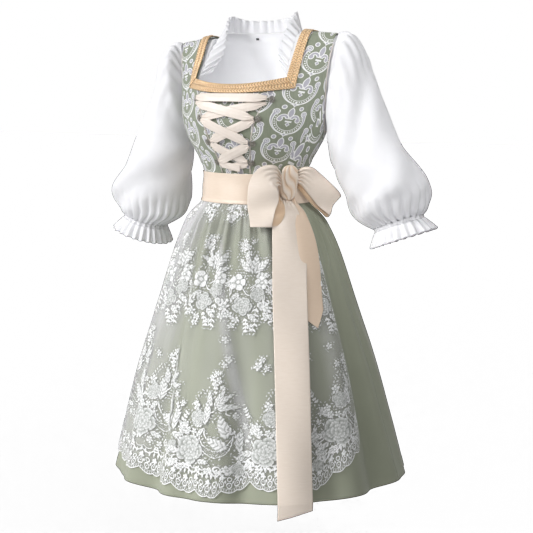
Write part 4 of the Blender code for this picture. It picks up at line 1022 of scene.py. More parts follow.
# ------------------------------------------------------------------------------------------
# Lacing: one narrow satin ribbon, straight across at the top and then crossed four times. It
# draws together into pleats where it passes through a hook.
# ------------------------------------------------------------------------------------------
RIBBON = 0.0235
RIBBON_THICK = 0.0005
RIBBON_TOP = 0.0200         # width of the straight ribbon at the top
RIBBON_WORN = 0.86          # share of its width that a ribbon under tension shows
RIBBON_SLACK = 1.15         # its length is more than the way from hook to hook
PLEAT_HEIGHT = 0.0011
PLEATED = 0.22              # share of its length that is in pleats, at each end
TOP_RISE = 0.0015           # the straight ribbon leaves its hooks this far above their middles
FIRST_DROP = 0.0065         # and the first crossed pair this far below its own line
SASH_TOP = -0.315
LAST_END = (0.016, SASH_TOP + 0.0135)   # where the last pair meets the sash

ribbon_satin = Finish(
    "cream_ribbon", Roughness=0.36, Sheen_Weight=0.3, Sheen_Roughness=0.3, Specular_IOR_Level=0.6
)
slub = ribbon_satin.noise(90.0, 3.0)
ribbon_satin.give(Base_Color=ribbon_satin.blend(slub, (0.80, 0.70, 0.62, 1), (0.88, 0.80, 0.73, 1)))
ribbon_satin.bump(weave(ribbon_satin, 1500.0) * 0.10 + slub * 0.5, 0.0006, 0.4)


def lacing_ribbon(name, start, end, lift, ends, width, phase):
    """Ribbon over the bodice from one (x, height) to another, with pleats towards its ends."""
    share = np.linspace(0.0, 1.0, 64)
    across = np.linspace(-1.0, 1.0, 23)[:, None]
    start, end = np.array(start), np.array(end)
    along = (end - start) / np.linalg.norm(end - start)
    aside = np.array([-along[1], along[0]])
    full = np.minimum(ease(share / PLEATED) + ends[0], 1.0)
    full = full * np.minimum(ease((1 - share) / PLEATED) + ends[1], 1.0)
    offset = (RIBBON_WORN * width / 2 * full * across)[..., None] * aside
    flat = mix(start, end, share[:, None])[None] + offset
    pleat = PLEAT_HEIGHT * (1.0 - full + 0.12) * np.cos(2.5 * math.pi * across + phase)
    bow = 0.0007 * np.sin(math.pi * share) * np.cos(math.pi * 0.5 * across)
    drift = 0.0003 * np.sin(7.0 * share + phase + 2.0 * across)
    points = on_torso(chart_at(flat[..., 0], flat[..., 1]), lift + pleat + bow + drift)
    made = panel(f"{name}_ribbon", points, ribbon_satin, [name], RIBBON_THICK)
    length = float(np.linalg.norm(end - start)) * RIBBON_SLACK


# How far each ribbon stands off the body, so that it clears what it crosses: the straight one,
# then the upper and the lower of each crossed pair. The third pair lies between the others.
STRAIGHT = 0.0070
CROSSED = (0.0052, 0.0026)
THIRD_CROSSED = (0.0039, 0.0065)
CROSSINGS = len(HOOKS["half"])
clear = HOOK_RADIUS + 2 * SEAM
half, height = HOOKS["half"], HOOKS["height"]
corner = (half[0] - clear, height[0] + TOP_RISE)
lacing_ribbon("lace_top", (-corner[0], corner[1]), corner, STRAIGHT, (0.55, 0.55), RIBBON_TOP, 0.4)
for number in range(1, CROSSINGS + 1):
    last = number == CROSSINGS
    start = np.array([half[number - 1], height[number - 1]])
    end = np.array(LAST_END if last else (half[number], height[number]))
    along = np.array([-start[0] - end[0], end[1] - start[1]])
    along /= np.linalg.norm(along)
    drop = np.array([0.0, -FIRST_DROP if number == 1 else 0.0])
    begin = start + clear * along + drop
    stop = np.array([-end[0], end[1]]) - (0.0 if last else clear) * along
    ends = (0.35, 1.0 if last else 0.35)
    width = (0.8 if last else 1.0) * RIBBON
    upper, lower = THIRD_CROSSED if number == 3 else CROSSED
    lacing_ribbon(f"lace_{number}a", begin * (-1, 1), stop * (-1, 1), upper, ends, width, 1.1 * number)
    lacing_ribbon(f"lace_{number}b", stop, begin, lower, ends[::-1], width, 0.7 * number + 1.0)

# ------------------------------------------------------------------------------------------
# Skirt: matt sage cloth, a front and a back width, gathered into the waist seam and falling in
# deep soft folds. Its hem is turned up once and stitched.
# ------------------------------------------------------------------------------------------
WAIST = -0.345
HEM = -1.035
HEM_TURN_UP = 0.022
SKIRT_THICK = 0.0009
SIDE_SEAM_GAP = 0.0018      # angle left free on each side of the two side seams
HEM_LEAN = 0.020            # the hem hangs lower on the wearer's right
HEM_SWING = 0.011           # and rises by up to twice this away from one angle
HEM_LOWEST = math.radians(28.0)
ANGLE_STEP = 0.01           # step of a difference round the skirt
SKIRT = table(
    "height half_width front back shift",
    (-0.285, 0.1390, 0.103, 0.094, 0.000),
    (-0.315, 0.1260, 0.098, 0.090, 0.000),
    (-0.3455, 0.1265, 0.098, 0.090, 0.000),
    (-0.385, 0.1310, 0.102, 0.096, 0.000),
    (-0.410, 0.1510, 0.115, 0.110, 0.002),
    (-0.450, 0.1730, 0.130, 0.130, 0.004),
    (-0.500, 0.1950, 0.146, 0.146, 0.006),
    (-0.580, 0.2240, 0.170, 0.172, 0.008),
    (-0.760, 0.2890, 0.220, 0.230, 0.012),
    (-0.900, 0.3290, 0.253, 0.262, 0.013),
    (-1.035, 0.3650, 0.283, 0.290, 0.014),
)
UNDER_SASH_ENDS = 55.0      # degrees round the body
FOLDS = table(
    "angle depth spread start",
    (-158.0, 0.030, 9.0, -0.42),
    (-131.0, 0.024, 8.0, -0.48),
    (-106.0, 0.034, 9.0, -0.44),
    (-82.0, 0.016, 7.5, -0.52),
    (-51.0, 0.012, 6.5, -0.50),
    (-27.0, 0.040, 7.0, -0.44),
    (-5.0, 0.012, 6.0, -0.66),
    (17.0, 0.032, 7.0, -0.52),
    (46.0, 0.020, 8.0, -0.60),
    (77.0, 0.042, 8.0, -0.42),
    (107.0, 0.012, 8.0, -0.46),
    (130.0, 0.030, 8.0, -0.46),
    (150.0, 0.018, 6.5, -0.50),
    (170.0, 0.032, 8.0, -0.44),
    (188.0, 0.016, 6.0, -0.60),
)


def metres_round(angle, height):
    """Metres round the envelope per radian, at an angle and a height."""
    step = over_skirt(angle + ANGLE_STEP, height) - over_skirt(angle - ANGLE_STEP, height)
    return np.linalg.norm(step, axis=-1) / (2 * ANGLE_STEP)


def skirt_section(angle, row):
    """Skirt's envelope without folds: an ellipse per row, leaning with the hips."""
    size = {name: smooth(SKIRT[name], row) for name in SKIRT}
    turn = np.cos(angle)
    x = size["half_width"] * np.sin(angle)
    y = size["shift"] - np.where(turn > 0, size["front"], size["back"]) * turn
    down = ease((WAIST - size["height"]) / (WAIST - HEM))
    rise = HEM_LEAN * np.sin(angle) + HEM_SWING * (1.0 - np.cos(angle - HEM_LOWEST))
    return np.stack([x, y, size["height"] + rise * down], axis=-1)


def over_skirt(angle, height, lift=0.0):
    """Points over the envelope, moved out along its normal."""
    angle, height = np.broadcast_arrays(np.asarray(angle, float), np.asarray(height, float))
    row = row_at(SKIRT, height)
    beyond = np.minimum(height - HEM, 0.0)
    points = lifted(lambda u, v: skirt_section(u, -v), angle, -row, np.broadcast_to(lift, angle.shape))
    points[..., 2] += beyond
    return points


def fold_depth(angle, height):
    """How far the folds draw the skirt in. Each valley is a bell across and deepens downwards."""
    depth = np.zeros(np.broadcast(angle, height).shape)
    for middle, deep, spread, start in zip(*(FOLDS[name] for name in FOLDS)):
        away = (np.degrees(angle) - middle + 180.0) % 360.0 - 180.0
        bell = np.exp(-((away / spread) ** 2))
        depth += deep * bell * ease((start - height) / (start - HEM)) ** 0.8
    return depth


def gathers(angle, height):
    """Small pleats that fan out from the waist and die away, and soft waves lower down.

    All but the finest are calmer under the ends of the sash.
    """
    down = SASH_TOP - height
    sway = angle + 0.045 * np.sin(3.0 * angle + 7.0 * down)
    fine = np.exp(-((np.maximum(down - 0.080, 0.0) / 0.075) ** 2)) * ease((down - 0.055) / 0.030)
    calm = 1.0 - 0.8 * np.exp(-(((np.degrees(angle) - UNDER_SASH_ENDS) / 17.0) ** 2))
    fan = calm * ease((down - 0.072) / 0.050) * np.exp(-((np.maximum(down - 0.110, 0.0) / 0.150) ** 2))
    long = calm * ease((down - 0.080) / 0.200)
    return ripple(
        (0.0011 * fine, 92.0 * sway + 2.0 * np.sin(5.0 * angle)),
        (0.0040 * fan, 37.0 * sway + 1.7 * np.sin(4.0 * angle + 1.0)),
        (0.0030 * fan, 23.0 * sway + 2.1),
        (0.0030 * long, 17.0 * sway + 2.5 * down + 0.8),
        (0.0016 * long, 31.0 * sway - 3.0 * down),
    )


def skirt_surface(angle, height, lift=0.0):
    """The skirt with its gathers and folds, or what lies on it at a lift."""
    return over_skirt(angle, height, lift + gathers(angle, height) - fold_depth(angle, height))


sage = Finish("sage_cloth", Roughness=0.8, Sheen_Weight=0.2, Sheen_Roughness=0.5)
mottle = sage.noise(14.0, 3.0)
sage.give(Base_Color=sage.blend(mottle, (0.292, 0.310, 0.232, 1), (0.337, 0.356, 0.272, 1)))
sage.bump(weave(sage, 900.0) * 0.12 + sage.noise(700.0, 2.0) * 0.35, 0.0006, 0.5)
down = np.linspace(0.0, 1.0, 150)[:, None]
height = mix(WAIST - 0.0005, HEM, down ** 1.05)
for name, middle in (("front", 0.0), ("back", math.pi)):
    half_turn = math.pi / 2 - SIDE_SEAM_GAP
    angle = middle + np.linspace(-half_turn, half_turn, 300)[None, :]
    stitch = -0.0006 * np.exp(-(((height - HEM - HEM_TURN_UP) / 0.0016) ** 2))
    doubled = 0.0005 * ease((HEM + HEM_TURN_UP - height) / 0.002)
    points = skirt_surface(angle, height, stitch + doubled)[::-1]
    made = panel(f"skirt_{name}_cloth", points, sage, [f"skirt_{name}"], SKIRT_THICK)

# ------------------------------------------------------------------------------------------
# Apron: white net, gathered under the sash, embroidered in white silk with bouquets above,
# roses below, and a border of eyelets along its scalloped edge.
# ------------------------------------------------------------------------------------------
APRON_TOP = -0.352
APRON_HALF_ANGLE = math.radians(71.0)
APRON_HEM = table(
    "angle rise",
    (-71.0, 0.070),
    (-62.0, 0.030),
    (-40.0, 0.030),
    (-20.0, 0.022),
    (-5.0, 0.010),
    (6.0, 0.006),
    (18.0, 0.034),
    (30.0, 0.020),
    (45.0, 0.022),
    (57.0, 0.060),
    (66.0, 0.085),
    (71.0, 0.125),
)
APRON_MIDDLE = -0.700       # the net's upper and lower parts meet here
APRON_COLUMNS = 440
APRON_ROWS = 205            # in each of the two parts
SCALLOP = 0.034             # width of one scallop along the edge
THREAD_HEIGHT = 0.0004
CLOTH_MM = 1050.0           # millimetres of cloth per metre of height, on the slanting skirt
OUTSIDE = -12.0             # far from any thread, in millimetres
ASIDE = -9.0                # off the thread of one motif
FILLED = 1.5                # well inside a thread
BARE_LINE = 0.9             # net left bare round a motif
BLOSSOM_TURN = 31.0         # degrees that a small blossom is turned, per millimetre of radius
SPRIG_SIZE = 1.15
LATTICE_MM = 260.0          # millimetres of leaflet lattice per radian round the skirt
LEAFLET_ZONE = (-7.0, -2.2)     # leaflets fill the net at this distance from a motif
BORDER_TALL = 70.0          # the border's height, in millimetres
BORDER_DENSE = 30.0         # nothing but the border shows below this
SIDE_MM = 300.0             # millimetres of cloth per radian, near the side edges
SIDE_INSET = 1.2            # the corded line runs this far in from a side edge


class Embroidery:
    """Stitches on a grid of cloth: how far each point lies inside thread, and how bright it is."""

    def __init__(self, angle, height):
        self.angle, self.height = np.broadcast_arrays(angle, height)
        self.cover = np.full(self.angle.shape, OUTSIDE)
        self.tone = np.zeros(self.angle.shape)

    def lay(self, where, cover, tone):
        """Stitches over all the marked points."""
        self.cover = np.where(where, cover, self.cover)
        self.tone = np.where(where, tone, self.tone)

    def plant(self, angle, height, parts, lean=0.0, size=1.0):
        """Motifs round a place: each is (x, y, turn, motif, reach), in millimetres and degrees.

        A later motif lies over an earlier one, with a bare line round it. Small waves bend the
        grid that they are laid on, so that no two are alike.
        """
        centre = math.radians(angle)
        across = (self.angle - centre) * metres_round(centre, height) * 1000.0 / size
        up = (self.height - height) * CLOTH_MM / size
        across, up = turned(across, up, lean)
        across = across + 1.5 * np.sin(0.13 * up + 9.0 * centre) + 0.6 * np.sin(0.47 * up + 0.21 * across)
        up = up + 1.5 * np.sin(0.12 * across + 7.0 * centre) + 0.6 * np.sin(0.43 * across - 0.19 * up)
        for x, y, turn, motif, reach in parts:
            near = (np.abs(across - x) < reach - ASIDE) & (np.abs(up - y) < reach - ASIDE)
            if not near.any():
                continue
            inside, bright = motif(*turned(across[near] - x, up[near] - y, turn))
            inside = np.clip(inside * size, OUTSIDE, FILLED)
            cover = self.cover[near]
            self.cover[near] = np.where(inside > -BARE_LINE, inside, np.maximum(cover, inside))
            self.tone[near] = np.where(inside > np.minimum(cover, -0.3), bright, self.tone[near])


def turned(x, y, degrees):
    """The same point seen from axes turned by an angle."""
    turn = math.radians(degrees)
    return x * math.cos(turn) + y * math.sin(turn), y * math.cos(turn) - x * math.sin(turn)


def leaf(length, width, veins=5):
    """Leaf along the up axis: a pointed oval with teeth, its midrib bare and its veins darkened: painted
    shade.
    """

    def motif(x, y):
        share = np.clip(y / length, 0.0, 1.0)
        teeth = 1.0 - 0.25 * np.abs(np.sin(veins * math.pi * share))
        half = width / 2 * np.sin(math.pi * share**0.8) * teeth
        inside = np.minimum(half - np.abs(x), np.minimum(y, length - y) + 0.6)
        bare = np.abs(x) - 0.9 * (1.0 - 0.7 * share) + 0.4
        vein = np.abs(np.sin(veins * math.pi * (share - 0.55 * np.abs(x) / width)))
        return np.minimum(inside, bare), 0.10 + 0.90 * ease(vein * 1.2)

    return motif


def blade(x0, y0, x1, y1, width, veins=5):
    """A leaf as a part, from its stalk to its tip."""
    length = math.hypot(x1 - x0, y1 - y0)
    return x0, y0, math.degrees(math.atan2(x0 - x1, y1 - y0)), leaf(length, width, veins), length


def flower(radius, petals=5, slender=0.6):
    """Open flower: petals with gaps between them, and a ring round a knot of thread in the middle, gaps and
    ring darkened: painted shade.
    """

    def motif(x, y):
        turn, reach = np.arctan2(y, x), np.hypot(x, y)
        lobe = np.abs(np.cos(petals * turn / 2))
        edge = radius * (0.95 - 0.75 * slender + (0.05 + 0.75 * slender) * lobe**slender)
        gap = reach * lobe * 2.0 / petals
        tone = 0.25 + 0.75 * ease(gap / (0.12 * radius))
        tone = np.where(np.abs(reach - 0.28 * radius) < 0.08 * radius, 0.3, tone)
        return edge - reach, np.where(reach < 0.18 * radius, 1.0, tone)

    return motif


def rose(radius):
    """Full rose: four rings of petals, each lightened at its rim, a painted highlight, and darkened where
    the next one covers it, a painted shade.
    """

    def motif(x, y):
        turn, reach = np.arctan2(y, x), np.hypot(x, y * 1.08)
        tone = 0.0 * x
        for share, start in ((1.0, 0.3), (0.74, 1.1), (0.50, 1.9), (0.27, 2.9)):
            lobe = np.abs(np.cos(2.5 * turn + start))
            edge = radius * share * (0.80 + 0.20 * lobe**0.6)
            deep = np.clip((edge - reach) / (0.27 * radius), 0.0, 1.0)
            petal = (1.0 - 0.9 * deep**1.2) * ease(lobe * 3.0 + 0.05) * (0.85 + 0.15 * np.cos(21.0 * turn))
            tone = np.where(reach < edge, petal, tone)
        lobe = np.abs(np.cos(2.5 * turn + 0.3))
        return radius * (0.80 + 0.20 * lobe**0.6) - reach, tone

    return motif


def hoop(radius):
    """Ring of thread with a dot inside it."""

    def motif(x, y):
        reach = np.hypot(x, y)
        ring = 0.14 * radius + 0.5 - np.abs(reach - 0.78 * radius)
        return np.maximum(ring, 0.26 * radius - reach), 1.0 + 0 * x

    return motif


def stem(radius, start, end, gauge=1.3):
    """Curved stem: an arc about the origin from one angle to another, in degrees."""

    def motif(x, y):
        turn, reach = np.degrees(np.arctan2(y, x)), np.hypot(x, y)
        past = (turn - start) % 360.0
        ends = np.where(past < end - start, np.minimum(past, end - start - past), ASIDE)
        ends = np.radians(ends) * radius + 0.5
        return np.minimum(gauge - np.abs(reach - radius), ends), 1.0 + 0 * x

    return motif


def crescent(radius, depth):
    """Crescent open at the top, with thread rims and a lattice filling."""

    def motif(x, y):
        inside = np.minimum(radius - np.hypot(x, y), np.hypot(x, y - depth) - (radius - 0.15 * depth))
        crossing = np.minimum(np.abs(np.sin(0.62 * (x + y))), np.abs(np.sin(0.62 * (x - y))))
        return np.where(inside > 2.0, 0.6 - 2.2 * crossing, inside), 1.0 - 0.25 * (inside > 2.0)

    return motif


def twig(length, leaves=4):
    """Straight twig along the up axis, with narrow leaves in pairs."""

    def motif(x, y):
        stalk = np.minimum(0.9 - np.abs(x), np.minimum(y, length - y))
        step = length / leaves
        local = (y / step) % 1.0 * step - 0.25 * step
        side = np.abs(x)
        along = side * 0.72 + local * 0.69
        aside = local * 0.72 - side * 0.69
        needle = 2.3 * np.sin(math.pi * np.clip(along / (0.95 * step), 0.0, 1.0)) - np.abs(aside)
        near = (y > 0) & (y < length) & (side < step)
        return np.maximum(stalk, np.where(near, needle, ASIDE)), 1.0 + 0 * x

    return motif


def dotted(*places):
    """Small blossoms as parts, each given as (x, y, radius)."""
    return [(x, y, BLOSSOM_TURN * radius, flower(radius, 5, 0.9), radius) for x, y, radius in places]


BOUQUET = [
    (30, -20, 150, crescent(27.0, 9.0), 30),
    (14, 6, 0, stem(30.0, 150, 262), 32),
    (-4, 20, 0, stem(24.0, 285, 395), 26),
    (18, -50, 172, twig(56.0, 5), 58),
    (30, -46, 205, twig(40.0, 4), 42),
    (-8, -72, 190, twig(34.0, 4), 36),
    (-36, -34, 100, twig(26.0, 3), 28),
    (-10, 62, 8, twig(44.0, 5), 46),
    blade(8, 26, 14, 74, 26.0),
    blade(10, 28, 46, 66, 22.0),
    blade(12, 20, 50, 30, 18.0, 4),
    blade(4, 32, -30, 62, 18.0),
    blade(2, 42, -14, 80, 16.0),
    blade(16, -36, 44, -60, 17.0, 4),
    blade(-22, -20, -44, -34, 15.0, 4),
    blade(-2, -62, 20, -84, 15.0, 4),
    *dotted((-14, 100, 8), (-4, 90, 8), (-20, 84, 8), (-3, 76, 8), (6, 102, 6), (-24, 94, 6)),
    *dotted((-52, -50, 12), (-42, -68, 10), (-56, -72, 9), (-28, -80, 9), (-34, -94, 8)),
    *dotted((4, -92, 7), (44, -8, 7)),
    (27, 8, 20, flower(16.0), 16),
    (20, -20, 50, rose(18.0), 18),
    (-14, -46, 0, rose(23.0), 23),
    (-29, 6, 10, flower(20.0, 5, 0.5), 20),
]
SPRAY = [
    (66, 28, 0, crescent(42.0, 15.0), 44),
    (-52, 4, 40, crescent(27.0, 10.0), 30),
    (62, 48, 0, stem(26.0, 170, 268, 1.6), 30),
    (36, 110, 0, stem(28.0, 262, 352), 30),
    (96, 92, 0, stem(9.0, 20, 290), 12),
    (-40, 74, 30, twig(32.0, 4), 34),
    (-64, 34, 60, twig(30.0, 3), 32),
    (136, 22, -30, twig(30.0, 3), 32),
    (60, 130, 10, twig(44.0, 5), 46),
    (10, -34, 100, twig(34.0, 4), 36),
    blade(38, 56, 41, 118, 26.0, 6),
    blade(94, 28, 76, 86, 32.0),
    blade(98, 8, 46, 28, 32.0),
    blade(120, -1, 122, 58, 22.0),
    blade(116, -4, 148, -26, 17.0, 4),
    blade(60, 92, 84, 152, 19.0),
    blade(64, 98, 124, 106, 17.0),
    blade(62, 104, 106, 134, 18.0),
    blade(52, 100, 40, 140, 17.0),
    blade(34, 62, 0, 58, 16.0, 4),
    blade(34, 52, 12, 30, 15.0, 4),
    blade(-6, 30, -42, 66, 20.0),
    blade(-30, -8, -70, -2, 18.0, 4),
    blade(-24, -24, -58, -42, 16.0, 4),
    blade(26, -24, 58, -28, 15.0, 4),
    *dotted((58, 178, 9), (68, 164, 9), (47, 166, 8), (57, 150, 10), (76, 148, 7), (70, 182, 6)),
    *dotted((-20, 58, 10), (-12, 42, 9), (6, 42, 9), (-34, 48, 8), (110, 84, 8), (134, 62, 8)),
    *dotted((30, -42, 9), (53, -46, 9), (-20, -44, 9), (-42, -30, 8), (-62, -16, 8), (140, -6, 8)),
    (8, 102, 20, flower(12.0, 5, 0.9), 12),
    (76, -40, 0, hoop(10.0), 10),
    (99, -42, 40, flower(12.0, 5, 0.9), 12),
    (120, -38, 60, rose(16.0), 16),
    (15, 76, 30, rose(21.0), 21),
    (0, 0, 0, rose(37.0), 37),
]
SPRIG = [
    (0, 0, 0, twig(40.0, 4), 42),
    blade(0, 8, -16, 20, 11.0, 3),
    blade(0, 14, 17, 26, 11.0, 3),
    *dotted((0, 40, 8), (-9, 30, 6), (10, 4, 7)),
]


WAIST_SPRIGS = (
    (-52.0, -0.386, 150.0),
    (-30.0, -0.378, 205.0),
    (-15.0, -0.372, 130.0),
    (2.0, -0.374, 175.0),
    (13.0, -0.372, 150.0),
    (30.0, -0.380, 170.0),
    (58.0, -0.388, 185.0),
)
BOUQUETS = (
    (-68.0, -0.555, 6.0),
    (-40.0, -0.560, 6.0),
    (-8.5, -0.556, 4.0),
    (17.5, -0.562, -2.0),
    (43.5, -0.565, -2.0),
    (68.0, -0.570, -6.0),
)
LOOSE_FLOWERS = (
    (-46.0, -0.715, 9.0),
    (-50.0, -0.735, 8.0),
    (-38.0, -0.730, 8.0),
    (5.5, -0.680, 9.0),
    (8.0, -0.722, 9.0),
    (6.5, -0.735, 8.0),
    (22.0, -0.735, 11.0),
    (26.0, -0.742, 8.0),
    (24.0, -0.722, 8.0),
    (47.0, -0.720, 8.0),
    (60.0, -0.700, 8.0),
    (62.0, -0.740, 8.0),
)
SPRAYS = (
    (-71.0, -0.850, 0.95),
    (-39.0, -0.888, 1.0),
    (-7.0, -0.925, 1.0),
    (25.0, -0.922, 1.0),
    (57.0, -0.888, 0.95),
)


def embroider(work):
    """The whole plan: sprigs at the waist, bouquets, a few loose flowers, and sprays of roses."""
    for angle, height, lean in WAIST_SPRIGS:
        work.plant(angle, height, SPRIG, lean, SPRIG_SIZE)
    for angle, height, lean in BOUQUETS:
        work.plant(angle, height, BOUQUET, lean)
    for angle, height, radius in LOOSE_FLOWERS:
        work.plant(angle, height, dotted((0, 0, radius)))
    for angle, height, size in SPRAYS:
        work.plant(angle, height, SPRAY, 0.0, size)


def leaflets(x, y):
    """Leaflets of thread on a staggered lattice, each an ellipse turned its own way."""
    wide, tall = 9.0, 7.0
    length, width = 4.6, 1.7
    row = np.round(y / tall)
    column = np.round(x / wide - 0.5 * (row % 2))
    aside, above = x - wide * (column + 0.5 * (row % 2)), y - tall * row
    turn = 40.0 * np.sin(12.9 * column + 78.2 * row)
    along = np.cos(turn) * aside + np.sin(turn) * above
    across = np.cos(turn) * above - np.sin(turn) * aside
    return width * (1.0 - np.hypot(along / length, across / width))


def border(along, above):
    """Border, by millimetres along and above the edge: a corded rim with dots, oval eyelets,
    a row of blossoms, and double garlands that hang between hoops."""

    def every(pitch, offset=0.0):
        place = (along + offset) / pitch
        return (place - np.round(place)) * pitch

    rim = 1.5 - np.abs(above - 1.8)
    dots = 1.6 - np.hypot(every(5.6), above - 6.2)
    line = 0.9 - np.abs(above - 9.4)
    oval = np.hypot(every(17.0) / 6.4, (above - 18.0) / 7.4)
    ring = 1.3 - np.abs(oval - 0.82) * 6.8
    pip = 1.7 - np.hypot(every(17.0), above - 18.0)
    wedge = 2.6 - np.abs(every(17.0, 8.5)) - 0.5 * np.abs(above - 25.0)
    turn = np.arctan2(above - 33.0, every(34.0))
    blossom = 7.5 * (0.55 + 0.45 * np.abs(np.cos(2.5 * turn))) - np.hypot(every(34.0), above - 33.0)
    loop = 1.3 - np.abs(np.hypot(every(34.0, 17.0), above - 32.0) - 4.6)
    swag = 1.7 - np.abs(np.hypot(every(68.0), (above - 74.0) * 1.15) - 33.0)
    second = 1.2 - np.abs(np.hypot(every(68.0), (above - 78.0) * 1.15) - 27.0)
    swag = np.where(above < 66.0, np.maximum(swag, second), ASIDE)
    knot = 1.5 - np.abs(np.hypot(every(68.0, 34.0), above - 60.0) - 6.0)
    berry = 2.4 - np.hypot(every(68.0, 34.0), above - 60.0)
    drop = 2.8 - np.abs(every(11.3, 3.0)) - 0.35 * np.abs(above - 48.0)
    rows = np.stack([rim, dots, line, ring, pip, wedge, blossom, loop, swag, knot, berry, drop])
    return rows.max(axis=0), np.where(rows.argmax(axis=0) == 2, 0.6, 1.0)


def apron_lift(height):
    """How far the apron stands off the skirt: close under the sash, freer below."""
    return mix(0.0016, 0.0045, ease((-0.388 - height) / 0.05))


net = Finish("white_net_lace", Roughness=0.7, Sheen_Weight=0.2, Sheen_Roughness=0.5)
cover = net.field("cover")
tone = net.field("tone")
haze = net.field("haze")
fray = net.noise(900.0, 2.0) - 0.5
worked = net.step(cover + fray * 0.5, -0.25, 0.30)
# Shade is a painted shadow: a ring just outside each motif where the bare net is darkened and made more
# opaque.
shade = net.step(cover, -2.4, -0.5) * (1.0 - worked)
stitches = net.noise(520.0, 2.0, (1.0, 1.0, 0.5))
# Tone runs the silk from a shaded sage to white: painted shade in the motifs' gaps, veins and petal folds,
# and a painted highlight on petal rims.
bright = tone * (net.step(stitches, 0.30, 0.62) * 0.4 + 0.6)
silk = net.blend(bright, (0.22, 0.24, 0.21, 1), (0.98, 0.98, 0.99, 1))
bare = net.blend(shade * 0.5, (0.84, 0.83, 0.87, 1), (0.30, 0.32, 0.28, 1))
net.give(Base_Color=net.blend(worked, bare, silk))
meshes = {"Vector": net.add("UVMap", uv_map="cloth"), "Scale": 620.0}
threads = net.add("TexVoronoi", meshes, feature="DISTANCE_TO_EDGE")
veil = haze * (net.step(threads, 0.16, 0.05) * 0.35 + 0.65)
net.give(Alpha=veil.math("MAXIMUM", veil.math("MAXIMUM", veil, shade * 0.3), worked * 0.95))
net.bump(worked * (tone * 0.6 + 0.4) + stitches * 0.3, 0.0006, 0.8)


def fill_between(work):
    """Small leaflets wherever the net between the motifs is neither near them nor far away."""
    small = leaflets(work.angle * LATTICE_MM, work.height * CLOTH_MM)
    free = (work.cover > LEAFLET_ZONE[0]) & (work.cover < LEAFLET_ZONE[1]) & (small > -0.5)
    work.lay(free, small, 0.75)


def add_border(work, along, above):
    """The border over the foot of the sprays: all of it near the edge, only its thread above."""
    cover, tone = border(along, above)
    cover = np.where(above < BORDER_TALL, np.clip(cover, OUTSIDE, FILLED), OUTSIDE)
    work.lay((cover > work.cover) | (above < BORDER_DENSE), cover, tone)


def bind_sides(work):
    """A narrow corded line down both side edges."""
    side = np.minimum(work.angle + APRON_HALF_ANGLE, APRON_HALF_ANGLE - work.angle)
    side = side * SIDE_MM - SIDE_INSET
    work.cover = np.maximum(work.cover, np.clip(0.9 - np.abs(side), -3.0, 1.0))
    work.tone = np.where(np.abs(side) < 0.9, 0.8, work.tone)


def net_haze(angle, height):
    """How much the net veils the skirt: more where it is gathered, or seen through in folds."""
    degrees = np.degrees(angle)
    left = ease((-20.0 - degrees) / 26.0) * mix(0.50, 0.26, ease((-0.60 - height) / 0.15))
    fold_line = degrees + 4.0 + 52.0 * (0.49 + height)
    strip = 0.42 * np.exp(-((fold_line / 2.8) ** 2))
    strip = strip * ease((-0.44 - height) / 0.06) * ease((height + 0.97) / 0.08)
    right = 0.14 * ease((degrees - 52.0) / 8.0)
    gathered = 0.10 * ease((height + 0.50) / 0.10)
    return 0.12 + left + strip + right + gathered + 0.03 * np.sin(23.0 * angle + 2.0)


angle = np.linspace(-APRON_HALF_ANGLE, APRON_HALF_ANGLE, APRON_COLUMNS)[None, :]
rise = np.interp(np.degrees(angle), APRON_HEM["angle"], APRON_HEM["rise"])
hem_line = over_skirt(angle[0], HEM + rise[0])
along = np.concatenate([[0.0], np.cumsum(np.linalg.norm(np.diff(hem_line, axis=0), axis=-1))])[None, :]
scallop = 0.0060 * (1.0 - np.abs(np.sin(math.pi * along / SCALLOP)) ** 0.8)
wave = 0.0080 * (0.5 + 0.5 * np.cos(math.pi * along / SCALLOP))
hem = HEM + rise + scallop + wave
for name, high, low in (("lower", APRON_MIDDLE, hem), ("upper", APRON_TOP, APRON_MIDDLE)):
    height = mix(high, low, np.linspace(0.0, 1.0, APRON_ROWS)[:, None])
    work = Embroidery(angle, height)
    embroider(work)
    fill_between(work)
    if name == "lower":
        add_border(work, along * 1000.0, (height - hem) * CLOTH_MM)
    bind_sides(work)
    relief = THREAD_HEIGHT * ease(work.cover + 0.4)
    points = skirt_surface(angle, height, apron_lift(height) + relief)[::-1]
    haze = net_haze(angle, height)
    fields = {"cover": work.cover[::-1], "tone": work.tone[::-1], "haze": haze[::-1]}
    made = panel(f"apron_{name}_lace", points, net, ["apron_panel"], fields=fields)

# ------------------------------------------------------------------------------------------
# Sash: a 75 mm champagne satin ribbon, drawn smooth round the waist and tied in a bow at the
# wearer's left. The knot bunches it into tight pleats, the loops stand out, the ends hang.
# ------------------------------------------------------------------------------------------
SASH_BOTTOM = -0.3845
SASH_LIFT = 0.0030
SASH_THICK = 0.0010
BOW_THICK = 0.0007
KNOT_ANGLE = math.radians(57.0)
KNOT_HEIGHT = -0.332
KNOT_LIFT = 0.0118
KNOT_HALF = (0.0205, 0.0100, 0.0400)    # half its width, depth and height
KNOT_REACH = 0.0384
LOOP_RIGHT_HAND = table(
    "angle height lift half_width slant",
    (48.6, -0.3270, 0.0170, 0.0150, 90.0),
    (43.0, -0.3170, 0.0270, 0.0240, 100.0),
    (36.5, -0.3210, 0.0340, 0.0290, 122.0),
    (32.0, -0.3430, 0.0340, 0.0300, 150.0),
    (31.0, -0.3700, 0.0310, 0.0290, 172.0),
    (28.5, -0.4020, 0.0260, 0.0250, 180.0),
    (27.2, -0.4260, 0.0240, 0.0220, 180.0),
    (27.5, -0.4300, 0.0195, 0.0220, 180.0),
    (31.0, -0.4250, 0.0165, 0.0260, 180.0),
    (36.0, -0.4030, 0.0160, 0.0280, 178.0),
    (40.0, -0.3780, 0.0150, 0.0240, 165.0),
    (43.0, -0.3580, 0.0135, 0.0160, 130.0),
    (45.0, -0.3450, 0.0125, 0.0100, 100.0),
)
